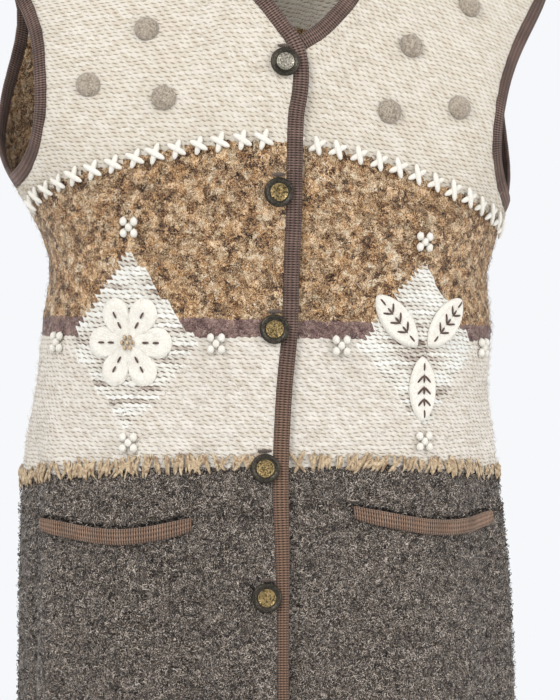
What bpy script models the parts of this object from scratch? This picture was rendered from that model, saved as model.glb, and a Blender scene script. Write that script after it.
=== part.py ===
"""A long sleeveless knitted vest with a V neck, buttoned down the front, filled out as when it is worn.

Metres, +Z up, the front faces -Y, the wearer's left is +X. The origin lies between the shoulders, at the
height where the shoulder seams rest on whoever wears it. Cloth is addressed by two pattern coordinates:
an angle round the body (0 centre front, 90 the wearer's left side, 180 centre back) and a rise, which is
negative below the underarm, 0 at the underarm and 1 on the shoulder seam.
"""

import math

import bmesh
import bpy
import numpy as np
from mathutils import Matrix, Vector

# Driving sizes
WALL = 0.003
SEAM_HALF_GAP = 0.0002
EDGE_GAP = 0.0003
TIP_GAP = 0.0006
HEM_HEIGHT = -0.805
UNDERARM_HEIGHT = -0.281
RIDGE_HEIGHT = 0.041
RISE_SPAN = RIDGE_HEIGHT - UNDERARM_HEIGHT
BELOW_SPAN = 0.300
SHOULDER_SLOPE = 0.366
SLOPE_SOFTNESS = 0.05
NECK_HALF_WIDTH = 0.096
SHOULDERS_BACK = 0.010

# Steps round and up at which the cloth's slope is read, in degrees and in rise
SLOPE_STEPS = (0.2, 0.003)

# How square the body is in plan, and how upright the chest and the back stand below the shoulders
SQUARENESS = 2.3
CHEST_UPRIGHTNESS = 2.2
BACK_UPRIGHTNESS = 2.8

SECTION_COLUMNS = ("height", "half_width", "sway", "front_depth", "back_depth")
SECTIONS = (
    (-0.805, 0.2200, 0.0040, 0.150, 0.140),
    (-0.700, 0.2185, 0.0032, 0.147, 0.140),
    (-0.600, 0.2155, 0.0012, 0.140, 0.136),
    (-0.515, 0.2090, -0.0020, 0.132, 0.126),
    (-0.450, 0.2030, 0.0000, 0.126, 0.118),
    (-0.390, 0.2010, 0.0050, 0.124, 0.114),
    (-0.335, 0.1975, 0.0055, 0.128, 0.116),
    (-0.305, 0.2080, 0.0025, 0.130, 0.119),
    (-0.281, 0.2190, -0.0005, 0.132, 0.122),
    (-0.240, 0.2330, -0.0020, 0.133, 0.126),
    (-0.180, 0.2430, 0.0000, 0.133, 0.128),
    (-0.100, 0.2500, 0.0060, 0.130, 0.128),
    (0.041, 0.2560, 0.0110, 0.125, 0.120),
)

# Soft vertical folds: the angle round the body, how wide, how far out, and between which heights
FOLD_COLUMNS = ("angle", "width", "out", "low", "high")
FOLDS = (
    (-62.0, 7.0, 0.0060, -0.90, -0.50),
    (-77.0, 6.0, -0.0090, -0.90, -0.53),
    (-101.0, 9.0, 0.0045, -0.90, -0.50),
    (-20.0, 8.0, -0.0045, -0.90, -0.57),
    (15.0, 7.0, -0.0060, -0.90, -0.46),
    (59.0, 9.0, -0.0055, -0.90, -0.56),
    (75.0, 7.0, 0.0050, -0.90, -0.50),
    (-47.0, 8.0, 0.0035, -0.27, -0.12),
    (46.0, 8.0, 0.0030, -0.27, -0.13),
    (122.0, 9.0, -0.0060, -0.90, -0.48),
    (150.0, 12.0, 0.0060, -0.90, -0.40),
    (180.0, 13.0, -0.0050, -0.90, -0.44),
    (-152.0, 12.0, 0.0065, -0.90, -0.42),
    (-126.0, 9.0, -0.0055, -0.90, -0.50),
)
FOLD_FADE = 0.06

# The wearer's left side hangs a little lower than the right one, from the waist up
LEAN = 0.050
LEAN_FADE = (-0.47, -0.28)

# Front edges where the cloth meets its band: height, and how far to the panel's own side of the centre
FRONT_EDGE_COLUMNS = ("height", "across")
RIGHT_FRONT_EDGE = (
    (-0.805, 0.0110),
    (-0.700, 0.0105),
    (-0.560, 0.0062),
    (-0.450, 0.0030),
    (-0.400, 0.0025),
    (-0.340, 0.0025),
    (-0.280, -0.0055),
    (-0.215, -0.0085),
    (-0.172, -0.0108),
    (-0.160, -0.0075),
    (-0.144, 0.0035),
    (-0.127, 0.0180),
    (-0.1095, 0.0325),
    (-0.060, 0.0665),
    (-0.015, 0.0870),
)
LEFT_FRONT_EDGE = (
    (-0.805, -0.0220),
    (-0.400, -0.0200),
    (-0.205, -0.0160),
    (-0.180, -0.0080),
    (-0.164, 0.0110),
    (-0.1487, 0.0335),
    (-0.127, 0.0540),
    (-0.1095, 0.0665),
    (-0.060, 0.0840),
    (-0.015, 0.0915),
)

# The armhole's cut, in degrees in front of or behind the side seam
ARMHOLE_COLUMNS = ("direction", "deepest", "at_rise", "roundness", "at_shoulder")
FRONT_ARMHOLE = (-1, 39.5, 0.21, 2.8, 12.0)
BACK_ARMHOLE = (1, 33.5, 0.35, 1.7, 11.0)
ARMHOLE_SWING = 3.4
UNDERARM_DIP = 0.008

# The back's neckline: how far up the shoulders its middle lies, and how squarely it turns up to them
BACK_NECK_RISE = 0.72
BACK_NECK_SQUARENESS = 2.6

# The right front lies over the left one along the buttons
BUTTON_FROM_EDGE = 0.0065
LIFT = 0.0064
LIFT_AT_HEM = 0.0035
LIFT_HEM_FADE = (-0.75, -0.45)
LIFT_FADE_ACROSS = (-0.080, -0.034)
LIFT_FADE_UP = (-0.135, -0.070)

# Ribbed bands sewn to the raw edges
BAND_WIDTH = 0.0145
BAND_WALL = 0.004
BAND_PROUD = 0.0005

# Grid counts
FRONT_COLUMNS = 14
BACK_COLUMNS = 24
BACK_NECK_COLUMNS = 8
ROWS_BELOW_POCKET = 13
ROWS_ABOVE_POCKET = 15
ROWS_OVER_UNDERARM = 17

# Slit pockets
RIGHT_POCKET_HEIGHT = -0.5535
LEFT_POCKET_HEIGHT = -0.5480
POCKET_MOUTH = 0.0034
RIGHT_POCKET_TILT = 0.0020
LEFT_POCKET_TILT = 0.0065
POCKET_SAG = 0.010
POCKET_SAG_REACH = 0.05
POCKET_COLUMNS = (4, 11)
RIGHT_POCKET_SHIFT = 1.06
POCKET_SHIFT_SKEW = 1.3
POCKET_BAND_WIDTH = 0.0138
POCKET_BAND_WALL = 0.0034
POCKET_BAND_GAPE = 0.0028
POCKET_BAND_OVER_MOUTH = 0.0010
POCKET_BAG_ROWS = (-8, 2)
POCKET_BAG_WALL = 0.0016
POCKET_BAG_SLACK = 0.0020

# Buttons: a dished metal rim round a raised centre, and a domed back
BUTTON_HEIGHTS = (-0.1710, -0.2805, -0.3965, -0.5150, -0.6230, -0.7380)
BUTTON_STEPS = 20
BUTTON_SEAT = 0.0005
BUTTON_PROFILE = (
    (0.0000, 0.0000),
    (0.0056, 0.0000),
    (0.0118, 0.0016),
    (0.0126, 0.0028),
    (0.0120, 0.0042),
    (0.0103, 0.0046),
    (0.0080, 0.0034),
    (0.0077, 0.0046),
    (0.0068, 0.0044),
    (0.0000, 0.0049),
)

# Wool puffs on the yoke: how far round from the centre, and how high
PUFF_RADIUS = 0.0105
PUFF_HEIGHT = 0.0065
PUFF_STEPS = 10
PUFF_COLUMNS = ("round", "height")
PUFFS = (
    (0.098, -0.205),
    (0.116, -0.146),
    (0.164, -0.196),
    (0.172, -0.104),
)

# Applied motifs: a round-petalled daisy, and a sprig of three leaves
MOTIF_GAP = 0.0006
MOTIF_WALL = 0.0026
MOTIF_RINGS = (0.35, 0.35)
MOTIF_HEIGHT = -0.405
MOTIF_ROUND = 0.130
DAISY_RADIUS = 0.038
DAISY_PETALS = 6
DAISY_NOTCH = 0.42
DAISY_PETAL_ROUNDNESS = 0.6
DAISY_EYE = 1.9
DAISY_EYE_RADIUS = 0.05
DAISY_SECTORS = 48
LEAF_LENGTH = 0.057
LEAF_WIDTH = 0.027
LEAF_POINTEDNESS = 0.35
LEAF_RINGS = (0.5,)
LEAF_SECTORS = 20
LEAF_COLUMNS = ("round", "up", "turn_degrees")
LEAVES = (
    (0.025, 0.021, 48.0),
    (-0.025, 0.021, 132.0),
    (0.0, -0.037, 270.0),
)

# Colours as a Principled BSDF takes them: linear red, green, blue
CREAM = (0.62, 0.54, 0.42)
WHITE_WOOL = (0.80, 0.76, 0.66)
TWEED = (0.25, 0.16, 0.09)
BAND_BROWN = (0.085, 0.055, 0.045)
POCKET_BROWN = (0.21, 0.13, 0.10)
CHARCOAL = (0.07, 0.06, 0.055)
PUFF_GREY = (0.42, 0.38, 0.33)
ANTIQUE_BRASS = (0.11, 0.10, 0.08)


def columns_of(rows, names):
    """A table's rows as one array for each named column."""
    return {name: np.array([row[i] for row in rows]) for i, name in enumerate(names)}


def smooth_through(x, xs, ys):
    """A curve through the points (xs, ys) with no corners, read at x."""
    x = np.clip(x, xs[0], xs[-1])
    i = np.clip(np.searchsorted(xs, x) - 1, 0, len(xs) - 2)
    slopes = np.gradient(ys, xs)
    width = xs[i + 1] - xs[i]
    t = (x - xs[i]) / width
    start = ys[i] * (1 + 2 * t) * (1 - t) ** 2 + slopes[i] * width * t * (1 - t) ** 2
    end = ys[i + 1] * t * t * (3 - 2 * t) - slopes[i + 1] * width * t * t * (1 - t)
    return start + end


def ease(x, low, high):
    """0 below low, 1 above high, and a soft step between."""
    t = np.clip((x - low) / (high - low), 0, 1)
    return t * t * (3 - 2 * t)


def signed_power(x, power):
    return np.sign(x) * np.abs(x) ** power


BODY = columns_of(SECTIONS, SECTION_COLUMNS)
FOLD = columns_of(FOLDS, FOLD_COLUMNS)


def shoulder_drop(x):
    return SHOULDER_SLOPE * x * x / (np.abs(x) + SLOPE_SOFTNESS)


def fold_out(angle, height):
    """How far the folds push the cloth out at an angle and a height."""
    away = (angle[..., None] - FOLD["angle"] + 180) % 360 - 180
    shape = np.exp(-((away / FOLD["width"]) ** 2))
    low = ease(height[..., None], FOLD["low"] - FOLD_FADE, FOLD["low"])
    high = 1 - ease(height[..., None], FOLD["high"], FOLD["high"] + FOLD_FADE)
    return (FOLD["out"] * shape * low * high).sum(-1)


def body_points(angle, rise):
    """Points of the cloth's outer face at pattern coordinates."""
    angle, rise = np.broadcast_arrays(np.asarray(angle, float), np.asarray(rise, float))
    turn = np.radians(angle)
    front = np.cos(turn) >= 0
    power = np.where(front, 2 / CHEST_UPRIGHTNESS, 2 / BACK_UPRIGHTNESS)
    arc = np.clip(rise, 0, 1) * math.pi / 2
    up = np.sin(arc) ** power
    height = UNDERARM_HEIGHT + np.where(rise > 0, RISE_SPAN * up, rise * BELOW_SPAN)
    half_width = smooth_through(height, BODY["height"], BODY["half_width"])
    front_depth = smooth_through(height, BODY["height"], BODY["front_depth"])
    back_depth = smooth_through(height, BODY["height"], BODY["back_depth"])
    depth = np.where(front, front_depth, back_depth) * np.clip(np.cos(arc), 0, 1) ** power
    x = half_width * signed_power(np.sin(turn), 2 / SQUARENESS)
    y = -depth * signed_power(np.cos(turn), 2 / SQUARENESS)
    across = x / half_width**2
    along = y / np.maximum(depth, 0.02) ** 2
    out = fold_out(angle, height) / np.maximum(np.hypot(across, along), 1e-9)
    x = x + across * out
    y = y + along * out + SHOULDERS_BACK * up * (rise > 0)
    z = height - shoulder_drop(x) * up * (rise > 0)
    swayed = x + smooth_through(height, BODY["height"], BODY["sway"])
    return np.stack([swayed, y, z - LEAN * x * ease(z, *LEAN_FADE)], -1)


def body_normals(angle, rise):
    """Outward unit normals of the cloth's outer face."""
    angle, rise = np.broadcast_arrays(np.asarray(angle, float), np.asarray(rise, float))
    round_step, up_step = SLOPE_STEPS
    top = np.minimum(rise + up_step, 1.0)
    sideways = body_points(angle + round_step, rise) - body_points(angle - round_step, rise)
    upward = body_points(angle, top) - body_points(angle, rise - up_step)
    over_ridge = np.zeros_like(upward)
    over_ridge[..., 1] = np.where(np.cos(np.radians(angle)) >= 0, 1.0, -1.0)
    upward = np.where((rise > 0.9999)[..., None], over_ridge, upward)
    normal = np.cross(sideways, upward)
    return normal / np.linalg.norm(normal, axis=-1, keepdims=True)


def pattern_of(across, height):
    """Pattern coordinates on the front of a point across from the centre, at a height."""
    up = np.clip((height - UNDERARM_HEIGHT) / (RISE_SPAN - shoulder_drop(across)), 0, 1)
    over = (2 / math.pi) * np.arcsin(up ** (CHEST_UPRIGHTNESS / 2))
    rise = np.where(height > UNDERARM_HEIGHT, over, (height - UNDERARM_HEIGHT) / BELOW_SPAN)
    level = np.where(height > UNDERARM_HEIGHT, UNDERARM_HEIGHT + RISE_SPAN * up, height)
    half_width = smooth_through(level, BODY["height"], BODY["half_width"])
    share = signed_power(across / half_width, SQUARENESS / 2)
    return np.degrees(np.arcsin(np.clip(share, -1, 1))), rise


def evenly(angle, rise, count):
    """The same line in pattern coordinates, with count + 1 points at equal lengths along the cloth."""
    points = body_points(angle, rise)
    steps = np.linalg.norm(np.diff(points, axis=0), axis=1)
    length = np.concatenate([[0], np.cumsum(steps)])
    at = np.linspace(0, length[-1], count + 1)
    return np.interp(at, length, angle), np.interp(at, length, rise)


def front_edge(table, low, high, samples=400):
    """A front's own edge as a line in pattern coordinates, between two heights."""
    edge = columns_of(table, FRONT_EDGE_COLUMNS)
    ridge = RIDGE_HEIGHT - shoulder_drop(NECK_HALF_WIDTH)
    heights = np.append(edge["height"], ridge)
    across = np.append(edge["across"], NECK_HALF_WIDTH)
    height = np.linspace(low, min(high, ridge), samples)
    return pattern_of(smooth_through(height, heights, across), height)


def armhole_edge(armhole, count):
    """The armhole's cut as angle and rise, from the underarm to the shoulder."""
    cut = dict(zip(ARMHOLE_COLUMNS, armhole))
    bottom = cut["at_rise"] * np.linspace(0, 1, 400) ** 3
    curve = 1 - (1 - bottom / cut["at_rise"]) ** cut["roundness"]
    low_cut = cut["deepest"] * curve ** (1 / cut["roundness"])
    share = np.linspace(0, 1, 200)[1:]
    swing = np.cos(share * math.pi / 2) ** ARMHOLE_SWING
    high_cut = cut["at_shoulder"] + (cut["deepest"] - cut["at_shoulder"]) * swing
    angle = 90 + cut["direction"] * np.concatenate([low_cut, high_cut])
    rise = np.concatenate([bottom, cut["at_rise"] + share * (1 - cut["at_rise"])])
    return evenly(angle, rise, count)


def patch_between(bottom, top, start, end):
    """Pattern coordinates inside four edge lines that share their corners."""
    u = np.linspace(0, 1, len(bottom))[None, :]
    v = np.linspace(0, 1, len(start))[:, None]
    ruled = (1 - v) * bottom[None, :] + v * top[None, :]
    ruled = ruled + (1 - u) * start[:, None] + u * end[:, None]
    low = (1 - u) * bottom[0] + u * bottom[-1]
    high = (1 - u) * top[0] + u * top[-1]
    return ruled - (1 - v) * low - v * high


def dipped(rises):
    """A row of rises that sags between its two ends, so that it passes below the armhole's round bottom."""
    share = np.linspace(0, math.pi, len(rises))
    return rises - UNDERARM_DIP / BELOW_SPAN * np.sqrt(np.clip(np.sin(share), 0, 1))


def front_heights(pocket_height):
    """Heights of a front's rows from the hem to the underarm, two of them the pocket's lips."""
    below = np.linspace(HEM_HEIGHT, pocket_height - POCKET_MOUTH, ROWS_BELOW_POCKET + 1)
    above = np.linspace(pocket_height, UNDERARM_HEIGHT, ROWS_ABOVE_POCKET + 1)
    return np.concatenate([below, above])


def front_pattern(side, table):
    """Angle and rise of every grid point of a front, row by row from the hem."""
    angles, rises = [], []
    edge = front_edge(table, HEM_HEIGHT, UNDERARM_HEIGHT)
    middle = sum(POCKET_COLUMNS) / 2
    half = (POCKET_COLUMNS[1] - POCKET_COLUMNS[0]) / 2 + 1
    columns = np.arange(FRONT_COLUMNS + 1)
    shift = RIGHT_POCKET_SHIFT if side < 0 else 0.0
    shifted = columns - shift * np.sin((columns / FRONT_COLUMNS) ** POCKET_SHIFT_SKEW * math.pi)
    along_pocket = np.clip((columns - middle) / half, -1, 1)
    pocket_height = RIGHT_POCKET_HEIGHT if side < 0 else LEFT_POCKET_HEIGHT
    tilt = RIGHT_POCKET_TILT if side < 0 else LEFT_POCKET_TILT
    drop = POCKET_SAG * np.cos(along_pocket * math.pi / 2) ** 2
    drop = drop + tilt * along_pocket * np.clip(np.sin(columns / FRONT_COLUMNS * math.pi), 0, 1) ** 0.5
    for height in front_heights(pocket_height):
        rise = (height - UNDERARM_HEIGHT) / BELOW_SPAN
        first = np.interp(rise, edge[1], edge[0])
        line = np.linspace(first, 90, 200)
        angle, _ = evenly(side * line, np.full(200, rise), FRONT_COLUMNS)
        angle = np.interp(shifted, columns, angle)
        near = math.exp(-(((height - pocket_height) / POCKET_SAG_REACH) ** 2))
        angles.append(side * angle)
        rises.append(rise - near * drop / BELOW_SPAN)
    neck = front_edge(table, UNDERARM_HEIGHT, RIDGE_HEIGHT)
    neck = evenly(neck[0], neck[1], ROWS_OVER_UNDERARM)
    rises[-1] = dipped(rises[-1])
    arm = armhole_edge(FRONT_ARMHOLE, ROWS_OVER_UNDERARM)
    shoulder = np.linspace(neck[0][-1], arm[0][-1], 200)
    shoulder = evenly(shoulder, np.ones(200), FRONT_COLUMNS)
    over_angle = patch_between(angles[-1], shoulder[0], neck[0], arm[0])
    over_rise = patch_between(rises[-1], shoulder[1], neck[1], arm[1])
    angle = np.vstack([np.array(angles), over_angle[1:]])
    rise = np.vstack([np.array(rises), over_rise[1:]])
    return side * angle, np.clip(rise, None, 1)


def back_pattern():
    """Angle and rise of every grid point of the back, each row from the wearer's left to the right."""
    angles, rises = [], []
    for height in np.linspace(HEM_HEIGHT, UNDERARM_HEIGHT, ROWS_BELOW_POCKET + ROWS_ABOVE_POCKET + 1):
        rise = (height - UNDERARM_HEIGHT) / BELOW_SPAN
        angle, _ = evenly(np.linspace(90, 270, 400), np.full(400, rise), BACK_COLUMNS)
        angles.append(angle)
        rises.append(np.full(BACK_COLUMNS + 1, rise))
    rises[-1] = dipped(rises[-1])
    arm = armhole_edge(BACK_ARMHOLE, ROWS_OVER_UNDERARM)
    neck_angle = 180 - pattern_of(NECK_HALF_WIDTH, RIDGE_HEIGHT - shoulder_drop(NECK_HALF_WIDTH))[0]
    shoulder_columns = (BACK_COLUMNS - BACK_NECK_COLUMNS) // 2
    shoulder, _ = evenly(np.linspace(arm[0][-1], neck_angle, 200), np.ones(200), shoulder_columns)
    neck = np.linspace(neck_angle, 360 - neck_angle, BACK_NECK_COLUMNS + 1)
    over = (neck - 180) / (neck_angle - 180)
    scoop = BACK_NECK_RISE + (1 - BACK_NECK_RISE) * np.abs(over) ** BACK_NECK_SQUARENESS
    top_angle = np.concatenate([shoulder, neck[1:-1], 360 - shoulder[::-1]])
    top_rise = np.ones(BACK_COLUMNS + 1)
    top_rise[shoulder_columns + 1 : -shoulder_columns - 1] = scoop[1:-1]
    over_angle = patch_between(angles[-1], top_angle, arm[0], 360 - arm[0])
    over_rise = patch_between(rises[-1], top_rise, arm[1], arm[1])
    angle = np.vstack([np.array(angles), over_angle[1:]])
    rise = np.vstack([np.array(rises), over_rise[1:]])
    return angle, np.clip(rise, None, 1)


def lift_of(points):
    """How far the right front stands off the left one, along the buttons."""
    x, z = points[..., 0], points[..., 2]
    across = x - smooth_through(z, BODY["height"], BODY["sway"])
    out = LIFT + LIFT_AT_HEM * (1 - ease(z, *LIFT_HEM_FADE))
    return out * ease(across, *LIFT_FADE_ACROSS) * (1 - ease(z, *LIFT_FADE_UP))


def face_of(angle, rise, side):
    """Outer face and normals of a panel: side is -1 for the right front, 1 for the left, 0 for the back."""
    points = body_points(angle, rise)
    normals = body_normals(angle, rise)
    if side < 0:
        points = points + normals * lift_of(points)[..., None]
    points[..., 1] += SEAM_HALF_GAP * (1 if side == 0 else -1)
    return points, normals


def material(name, colour, roughness, metallic):
    made = bpy.data.materials.new(name)
    made.use_nodes = True
    shader = made.node_tree.nodes["Principled BSDF"]
    shader.inputs["Base Color"].default_value = (*colour, 1.0)
    shader.inputs["Roughness"].default_value = roughness
    shader.inputs["Metallic"].default_value = metallic
    return made


def add_object(name, bm, colour, roughness=0.95, metallic=0.0, smooth_below=50):
    mesh = bpy.data.meshes.new(name)
    bmesh.ops.recalc_face_normals(bm, faces=bm.faces)
    bm.to_mesh(mesh)
    bm.free()
    mesh.shade_smooth()
    mesh.set_sharp_from_angle(angle=math.radians(smooth_below))
    mesh.materials.append(material(name, colour, roughness, metallic))
    made = bpy.data.objects.new(name, mesh)
    bpy.context.scene.collection.objects.link(made)
    return made


def thicken(bm, labels, outer, inner):
    """Turns a labelled sheet into a closed wall: outer and inner give a vertex's place from its labels."""
    for vert in bm.verts:
        vert.co = outer(*[vert[label] for label in labels])
    bmesh.ops.remove_doubles(bm, verts=bm.verts, dist=1e-6)
    grown = bmesh.ops.extrude_face_region(bm, geom=bm.faces[:], use_keep_orig=True)
    for vert in grown["geom"]:
        if isinstance(vert, bmesh.types.BMVert):
            vert.co = inner(*[vert[label] for label in labels])


def cloth_wall(name, outer, inner, colour, missing=()):
    """A closed wall between two grids of points, without the cells (row, column) named in missing."""
    rows, columns = outer.shape[0] - 1, outer.shape[1] - 1
    bm = bmesh.new()
    row_of = bm.verts.layers.int.new("row")
    column_of = bm.verts.layers.int.new("column")
    bmesh.ops.create_grid(bm, x_segments=columns, y_segments=rows, size=0.5)
    for vert in bm.verts:
        vert[row_of] = round((vert.co.y + 0.5) * rows)
        vert[column_of] = round((vert.co.x + 0.5) * columns)
    gone = [
        face
        for face in bm.faces
        if (min(v[row_of] for v in face.verts), min(v[column_of] for v in face.verts)) in missing
    ]
    bmesh.ops.delete(bm, geom=gone, context="FACES")
    thicken(
        bm,
        (row_of, column_of),
        lambda row, column: outer[row, column],
        lambda row, column: inner[row, column],
    )
    return add_object(name, bm, colour)


def edge_band(name, points, normals, inward, colour):
    """A ribbed band along a line of edge points, reaching its width along the inward directions."""
    near = points + inward * EDGE_GAP + normals * BAND_PROUD
    far = near + inward * BAND_WIDTH
    outer = np.stack([near, far], 1)
    inner = outer - normals[:, None, :] * BAND_WALL
    return cloth_wall(name, outer, inner, colour)


def along(points, closed=False):
    """Unit tangents of a line of points."""
    if closed:
        tangent = np.roll(points, -1, 0) - np.roll(points, 1, 0)
    else:
        tangent = np.gradient(points, axis=0)
    return tangent / np.linalg.norm(tangent, axis=1, keepdims=True)


def off_the_edge(points, normals, toward, closed=False):
    """Unit directions across an edge, in the cloth's face and on the side of the points in toward."""
    inward = np.cross(normals, along(points, closed))
    inward = inward * np.sign((inward * (toward - points)).sum(1, keepdims=True))
    return inward / np.linalg.norm(inward, axis=1, keepdims=True)


def along_ridge(normal, direction):
    """The unit direction along the shoulder seam that points towards +X or -X."""
    along_seam = np.cross(normal, (0.0, 1.0, 0.0))
    along_seam = along_seam * np.sign(along_seam[0]) * direction
    return along_seam / np.linalg.norm(along_seam)


def make_front(name, side, table, colour):
    """A front panel, with its pocket slit cut through. Returns what its trimmings are made from."""
    angle, rise = front_pattern(side, table)
    outer, normals = face_of(angle, rise, side)
    slit = {(ROWS_BELOW_POCKET, column) for column in range(*POCKET_COLUMNS)}
    cloth_wall(name, outer, outer - normals * WALL, colour, slit)
    return {"outer": outer, "normals": normals, "side": side}


def make_back(colour):
    angle, rise = back_pattern()
    outer, normals = face_of(angle, rise, 0)
    cloth_wall("back", outer, outer - normals * WALL, colour)
    return {"outer": outer, "normals": normals, "side": 0}


def make_front_band(name, front, colour):
    """The band up a front's edge and round its half of the neck, as far as the shoulder seam."""
    points, normals = front["outer"][:, 0], front["normals"][:, 0]
    beyond = points + points - front["outer"][:, 1]
    inward = off_the_edge(points, normals, beyond)
    inward[-1] = along_ridge(normals[-1], -front["side"])
    edge_band(name, points, normals, inward, colour)


def make_back_neck_band(back, colour):
    """The band across the back of the neck, from shoulder seam to shoulder seam."""
    first = (BACK_COLUMNS - BACK_NECK_COLUMNS) // 2
    columns = slice(first, first + BACK_NECK_COLUMNS + 1)
    points, normals = back["outer"][-1, columns], back["normals"][-1, columns]
    beyond = points + points - back["outer"][-2, columns]
    inward = off_the_edge(points, normals, beyond)
    inward[0] = along_ridge(normals[0], -1)
    inward[-1] = along_ridge(normals[-1], 1)
    edge_band("neck_band_back", points, normals, inward, colour)


def make_armhole_band(name, front, back, colour):
    """The ribbed ring round an armhole, from the underarm up the front, over the shoulder and down the back."""
    side = front["side"]
    start = ROWS_BELOW_POCKET + ROWS_ABOVE_POCKET + 1
    back_column = 0 if side > 0 else -1
    up = front["outer"][start:, -1]
    down = back["outer"][start - 1 :, back_column][::-1]
    up_normals = front["normals"][start:, -1]
    down_normals = back["normals"][start - 1 :, back_column][::-1]
    points = np.vstack([up[:-1], (up[-1:] + down[:1]) / 2, down[1:-1]])
    normals = np.vstack([up_normals, down_normals[1:-1]])
    points[0] = (up[0] + down[-1]) / 2
    inward = off_the_edge(points, normals, points.mean(0), closed=True)
    tip = len(up) - 1
    inward[tip] = along_ridge(normals[tip], side)
    points[tip - 1 : tip + 2] += inward[tip - 1 : tip + 2] * TIP_GAP
    points, normals, inward = (np.vstack([a, a[:1]]) for a in (points, normals, inward))
    edge_band(name, points, normals, inward, colour)


def make_pocket(name, front, band_colour, bag_colour):
    """A pocket's ribbed band on the lower lip, which gapes, and the flat bag behind the slit."""
    first, last = POCKET_COLUMNS
    outer, normals = front["outer"], front["normals"]
    lip = outer[ROWS_BELOW_POCKET, first : last + 1]
    below = outer[ROWS_BELOW_POCKET - 1, first : last + 1]
    facing = normals[ROWS_BELOW_POCKET, first : last + 1]
    down = (below - lip) / np.linalg.norm(below - lip, axis=1, keepdims=True)
    ends = np.linspace(-1, 1, last - first + 1)[:, None]
    gape = MOTIF_GAP + POCKET_BAND_GAPE * (1 - ends**4)
    top = lip - down * POCKET_BAND_OVER_MOUTH + facing * gape
    bottom = lip + down * (POCKET_BAND_WIDTH - POCKET_BAND_OVER_MOUTH) + facing * MOTIF_GAP
    inner = np.stack([bottom, top], 1)
    cloth_wall(f"{name}_band", inner + facing[:, None] * POCKET_BAND_WALL, inner, band_colour)
    rows = slice(ROWS_BELOW_POCKET + POCKET_BAG_ROWS[0], ROWS_BELOW_POCKET + POCKET_BAG_ROWS[1] + 2)
    columns = slice(first - 1, last + 2)
    face, out = outer[rows, columns], normals[rows, columns]
    across = np.sin(np.linspace(0, math.pi, face.shape[1]))[None, :]
    upright = np.sin(np.linspace(0, math.pi, face.shape[0]))[:, None]
    depth = WALL + EDGE_GAP + POCKET_BAG_SLACK * across * upright
    bag = face - out * depth[..., None]
    cloth_wall(f"{name}_bag", bag, bag - out * POCKET_BAG_WALL, bag_colour)


def on_front(side, away, height):
    """The point and normal of a front's outer face at a distance round from the centre and a height."""
    across = np.linspace(0, 0.2435, 300)
    angle, rise = pattern_of(across, np.full(300, height))
    points, _ = face_of(side * angle, rise, side)
    length = np.concatenate([[0], np.cumsum(np.linalg.norm(np.diff(points, axis=0), axis=1))])
    at_angle = np.array(side * np.interp(away, length, angle))
    at_rise = np.array(np.interp(away, length, rise))
    point, normal = face_of(at_angle, at_rise, side)
    return point, normal


def turned(name, profile, steps, point, normal, colour, roughness, metallic):
    """A turned solid whose axis stands on the cloth at a point."""
    bm = bmesh.new()
    line = [bm.verts.new((radius, 0.0, height)) for radius, height in profile]
    edges = [bm.edges.new(pair) for pair in zip(line, line[1:])]
    bmesh.ops.spin(
        bm,
        geom=line + edges,
        cent=(0, 0, 0),
        axis=(0, 0, 1),
        angle=2 * math.pi,
        steps=steps,
        use_merge=True,
    )
    bmesh.ops.remove_doubles(bm, verts=bm.verts, dist=1e-6)
    made = add_object(name, bm, colour, roughness, metallic, smooth_below=35)
    turn = Vector(normal).to_track_quat("Z", "Y").to_matrix().to_4x4()
    made.matrix_world = Matrix.Translation(Vector(point)) @ turn
    return made


def make_buttons():
    edge = columns_of(RIGHT_FRONT_EDGE, FRONT_EDGE_COLUMNS)
    for number, height in enumerate(BUTTON_HEIGHTS, 1):
        across = smooth_through(height, edge["height"], edge["across"]) + BUTTON_FROM_EDGE
        angle, rise = pattern_of(np.array(across), np.array(height))
        point, normal = face_of(-angle, rise, -1)
        seat = point + normal * BUTTON_SEAT
        turned(f"button_{number}", BUTTON_PROFILE, BUTTON_STEPS, seat, normal, ANTIQUE_BRASS, 0.35, 1.0)


def make_puffs():
    """The felted wool puffs that are scattered over the yoke, four on each front."""
    arcs = np.linspace(0, math.pi / 2, 4)
    dome = [(PUFF_RADIUS * math.cos(a), PUFF_HEIGHT * math.sin(a)) for a in arcs]
    profile = [(0.0, 0.0)] + dome[:-1] + [(0.0, PUFF_HEIGHT)]
    for side, word in ((-1, "right"), (1, "left")):
        for number, (away, height) in enumerate(PUFFS, 1):
            point, normal = on_front(side, away, height)
            seat = point + normal * MOTIF_GAP
            turned(f"puff_{word}_{number}", profile, PUFF_STEPS, seat, normal, PUFF_GREY, 0.95, 0.0)


def applied(name, side, rings, sectors, outline, crown):
    """An applied motif: outline gives a rim point's place round and up, crown its thickness, at a radius."""
    bm = bmesh.new()
    radius_of = bm.verts.layers.float.new("radius")
    sector_of = bm.verts.layers.float.new("sector")
    bmesh.ops.create_circle(bm, cap_ends=True, segments=sectors, radius=1.0)
    for ring in rings:
        middle = max(bm.faces, key=lambda face: len(face.verts))
        thickness = ring * math.cos(math.pi / sectors)
        bmesh.ops.inset_region(
            bm,
            faces=[middle],
            thickness=thickness,
            use_boundary=True,
            use_even_offset=True,
        )
    middle = max(bm.faces, key=lambda face: len(face.verts))
    bmesh.ops.poke(bm, faces=[middle])
    for vert in bm.verts:
        vert[radius_of] = vert.co.length
        vert[sector_of] = math.atan2(vert.co.y, vert.co.x)

    def place(radius, sector, out):
        away, height = outline(radius, sector)
        point, normal = on_front(side, MOTIF_ROUND + away, MOTIF_HEIGHT + height)
        return Vector(point + normal * (MOTIF_GAP + out))

    thicken(
        bm,
        (radius_of, sector_of),
        lambda radius, sector: place(radius, sector, crown(radius)),
        lambda radius, sector: place(radius, sector, 0.0),
    )
    return add_object(name, bm, WHITE_WOOL)


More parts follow.
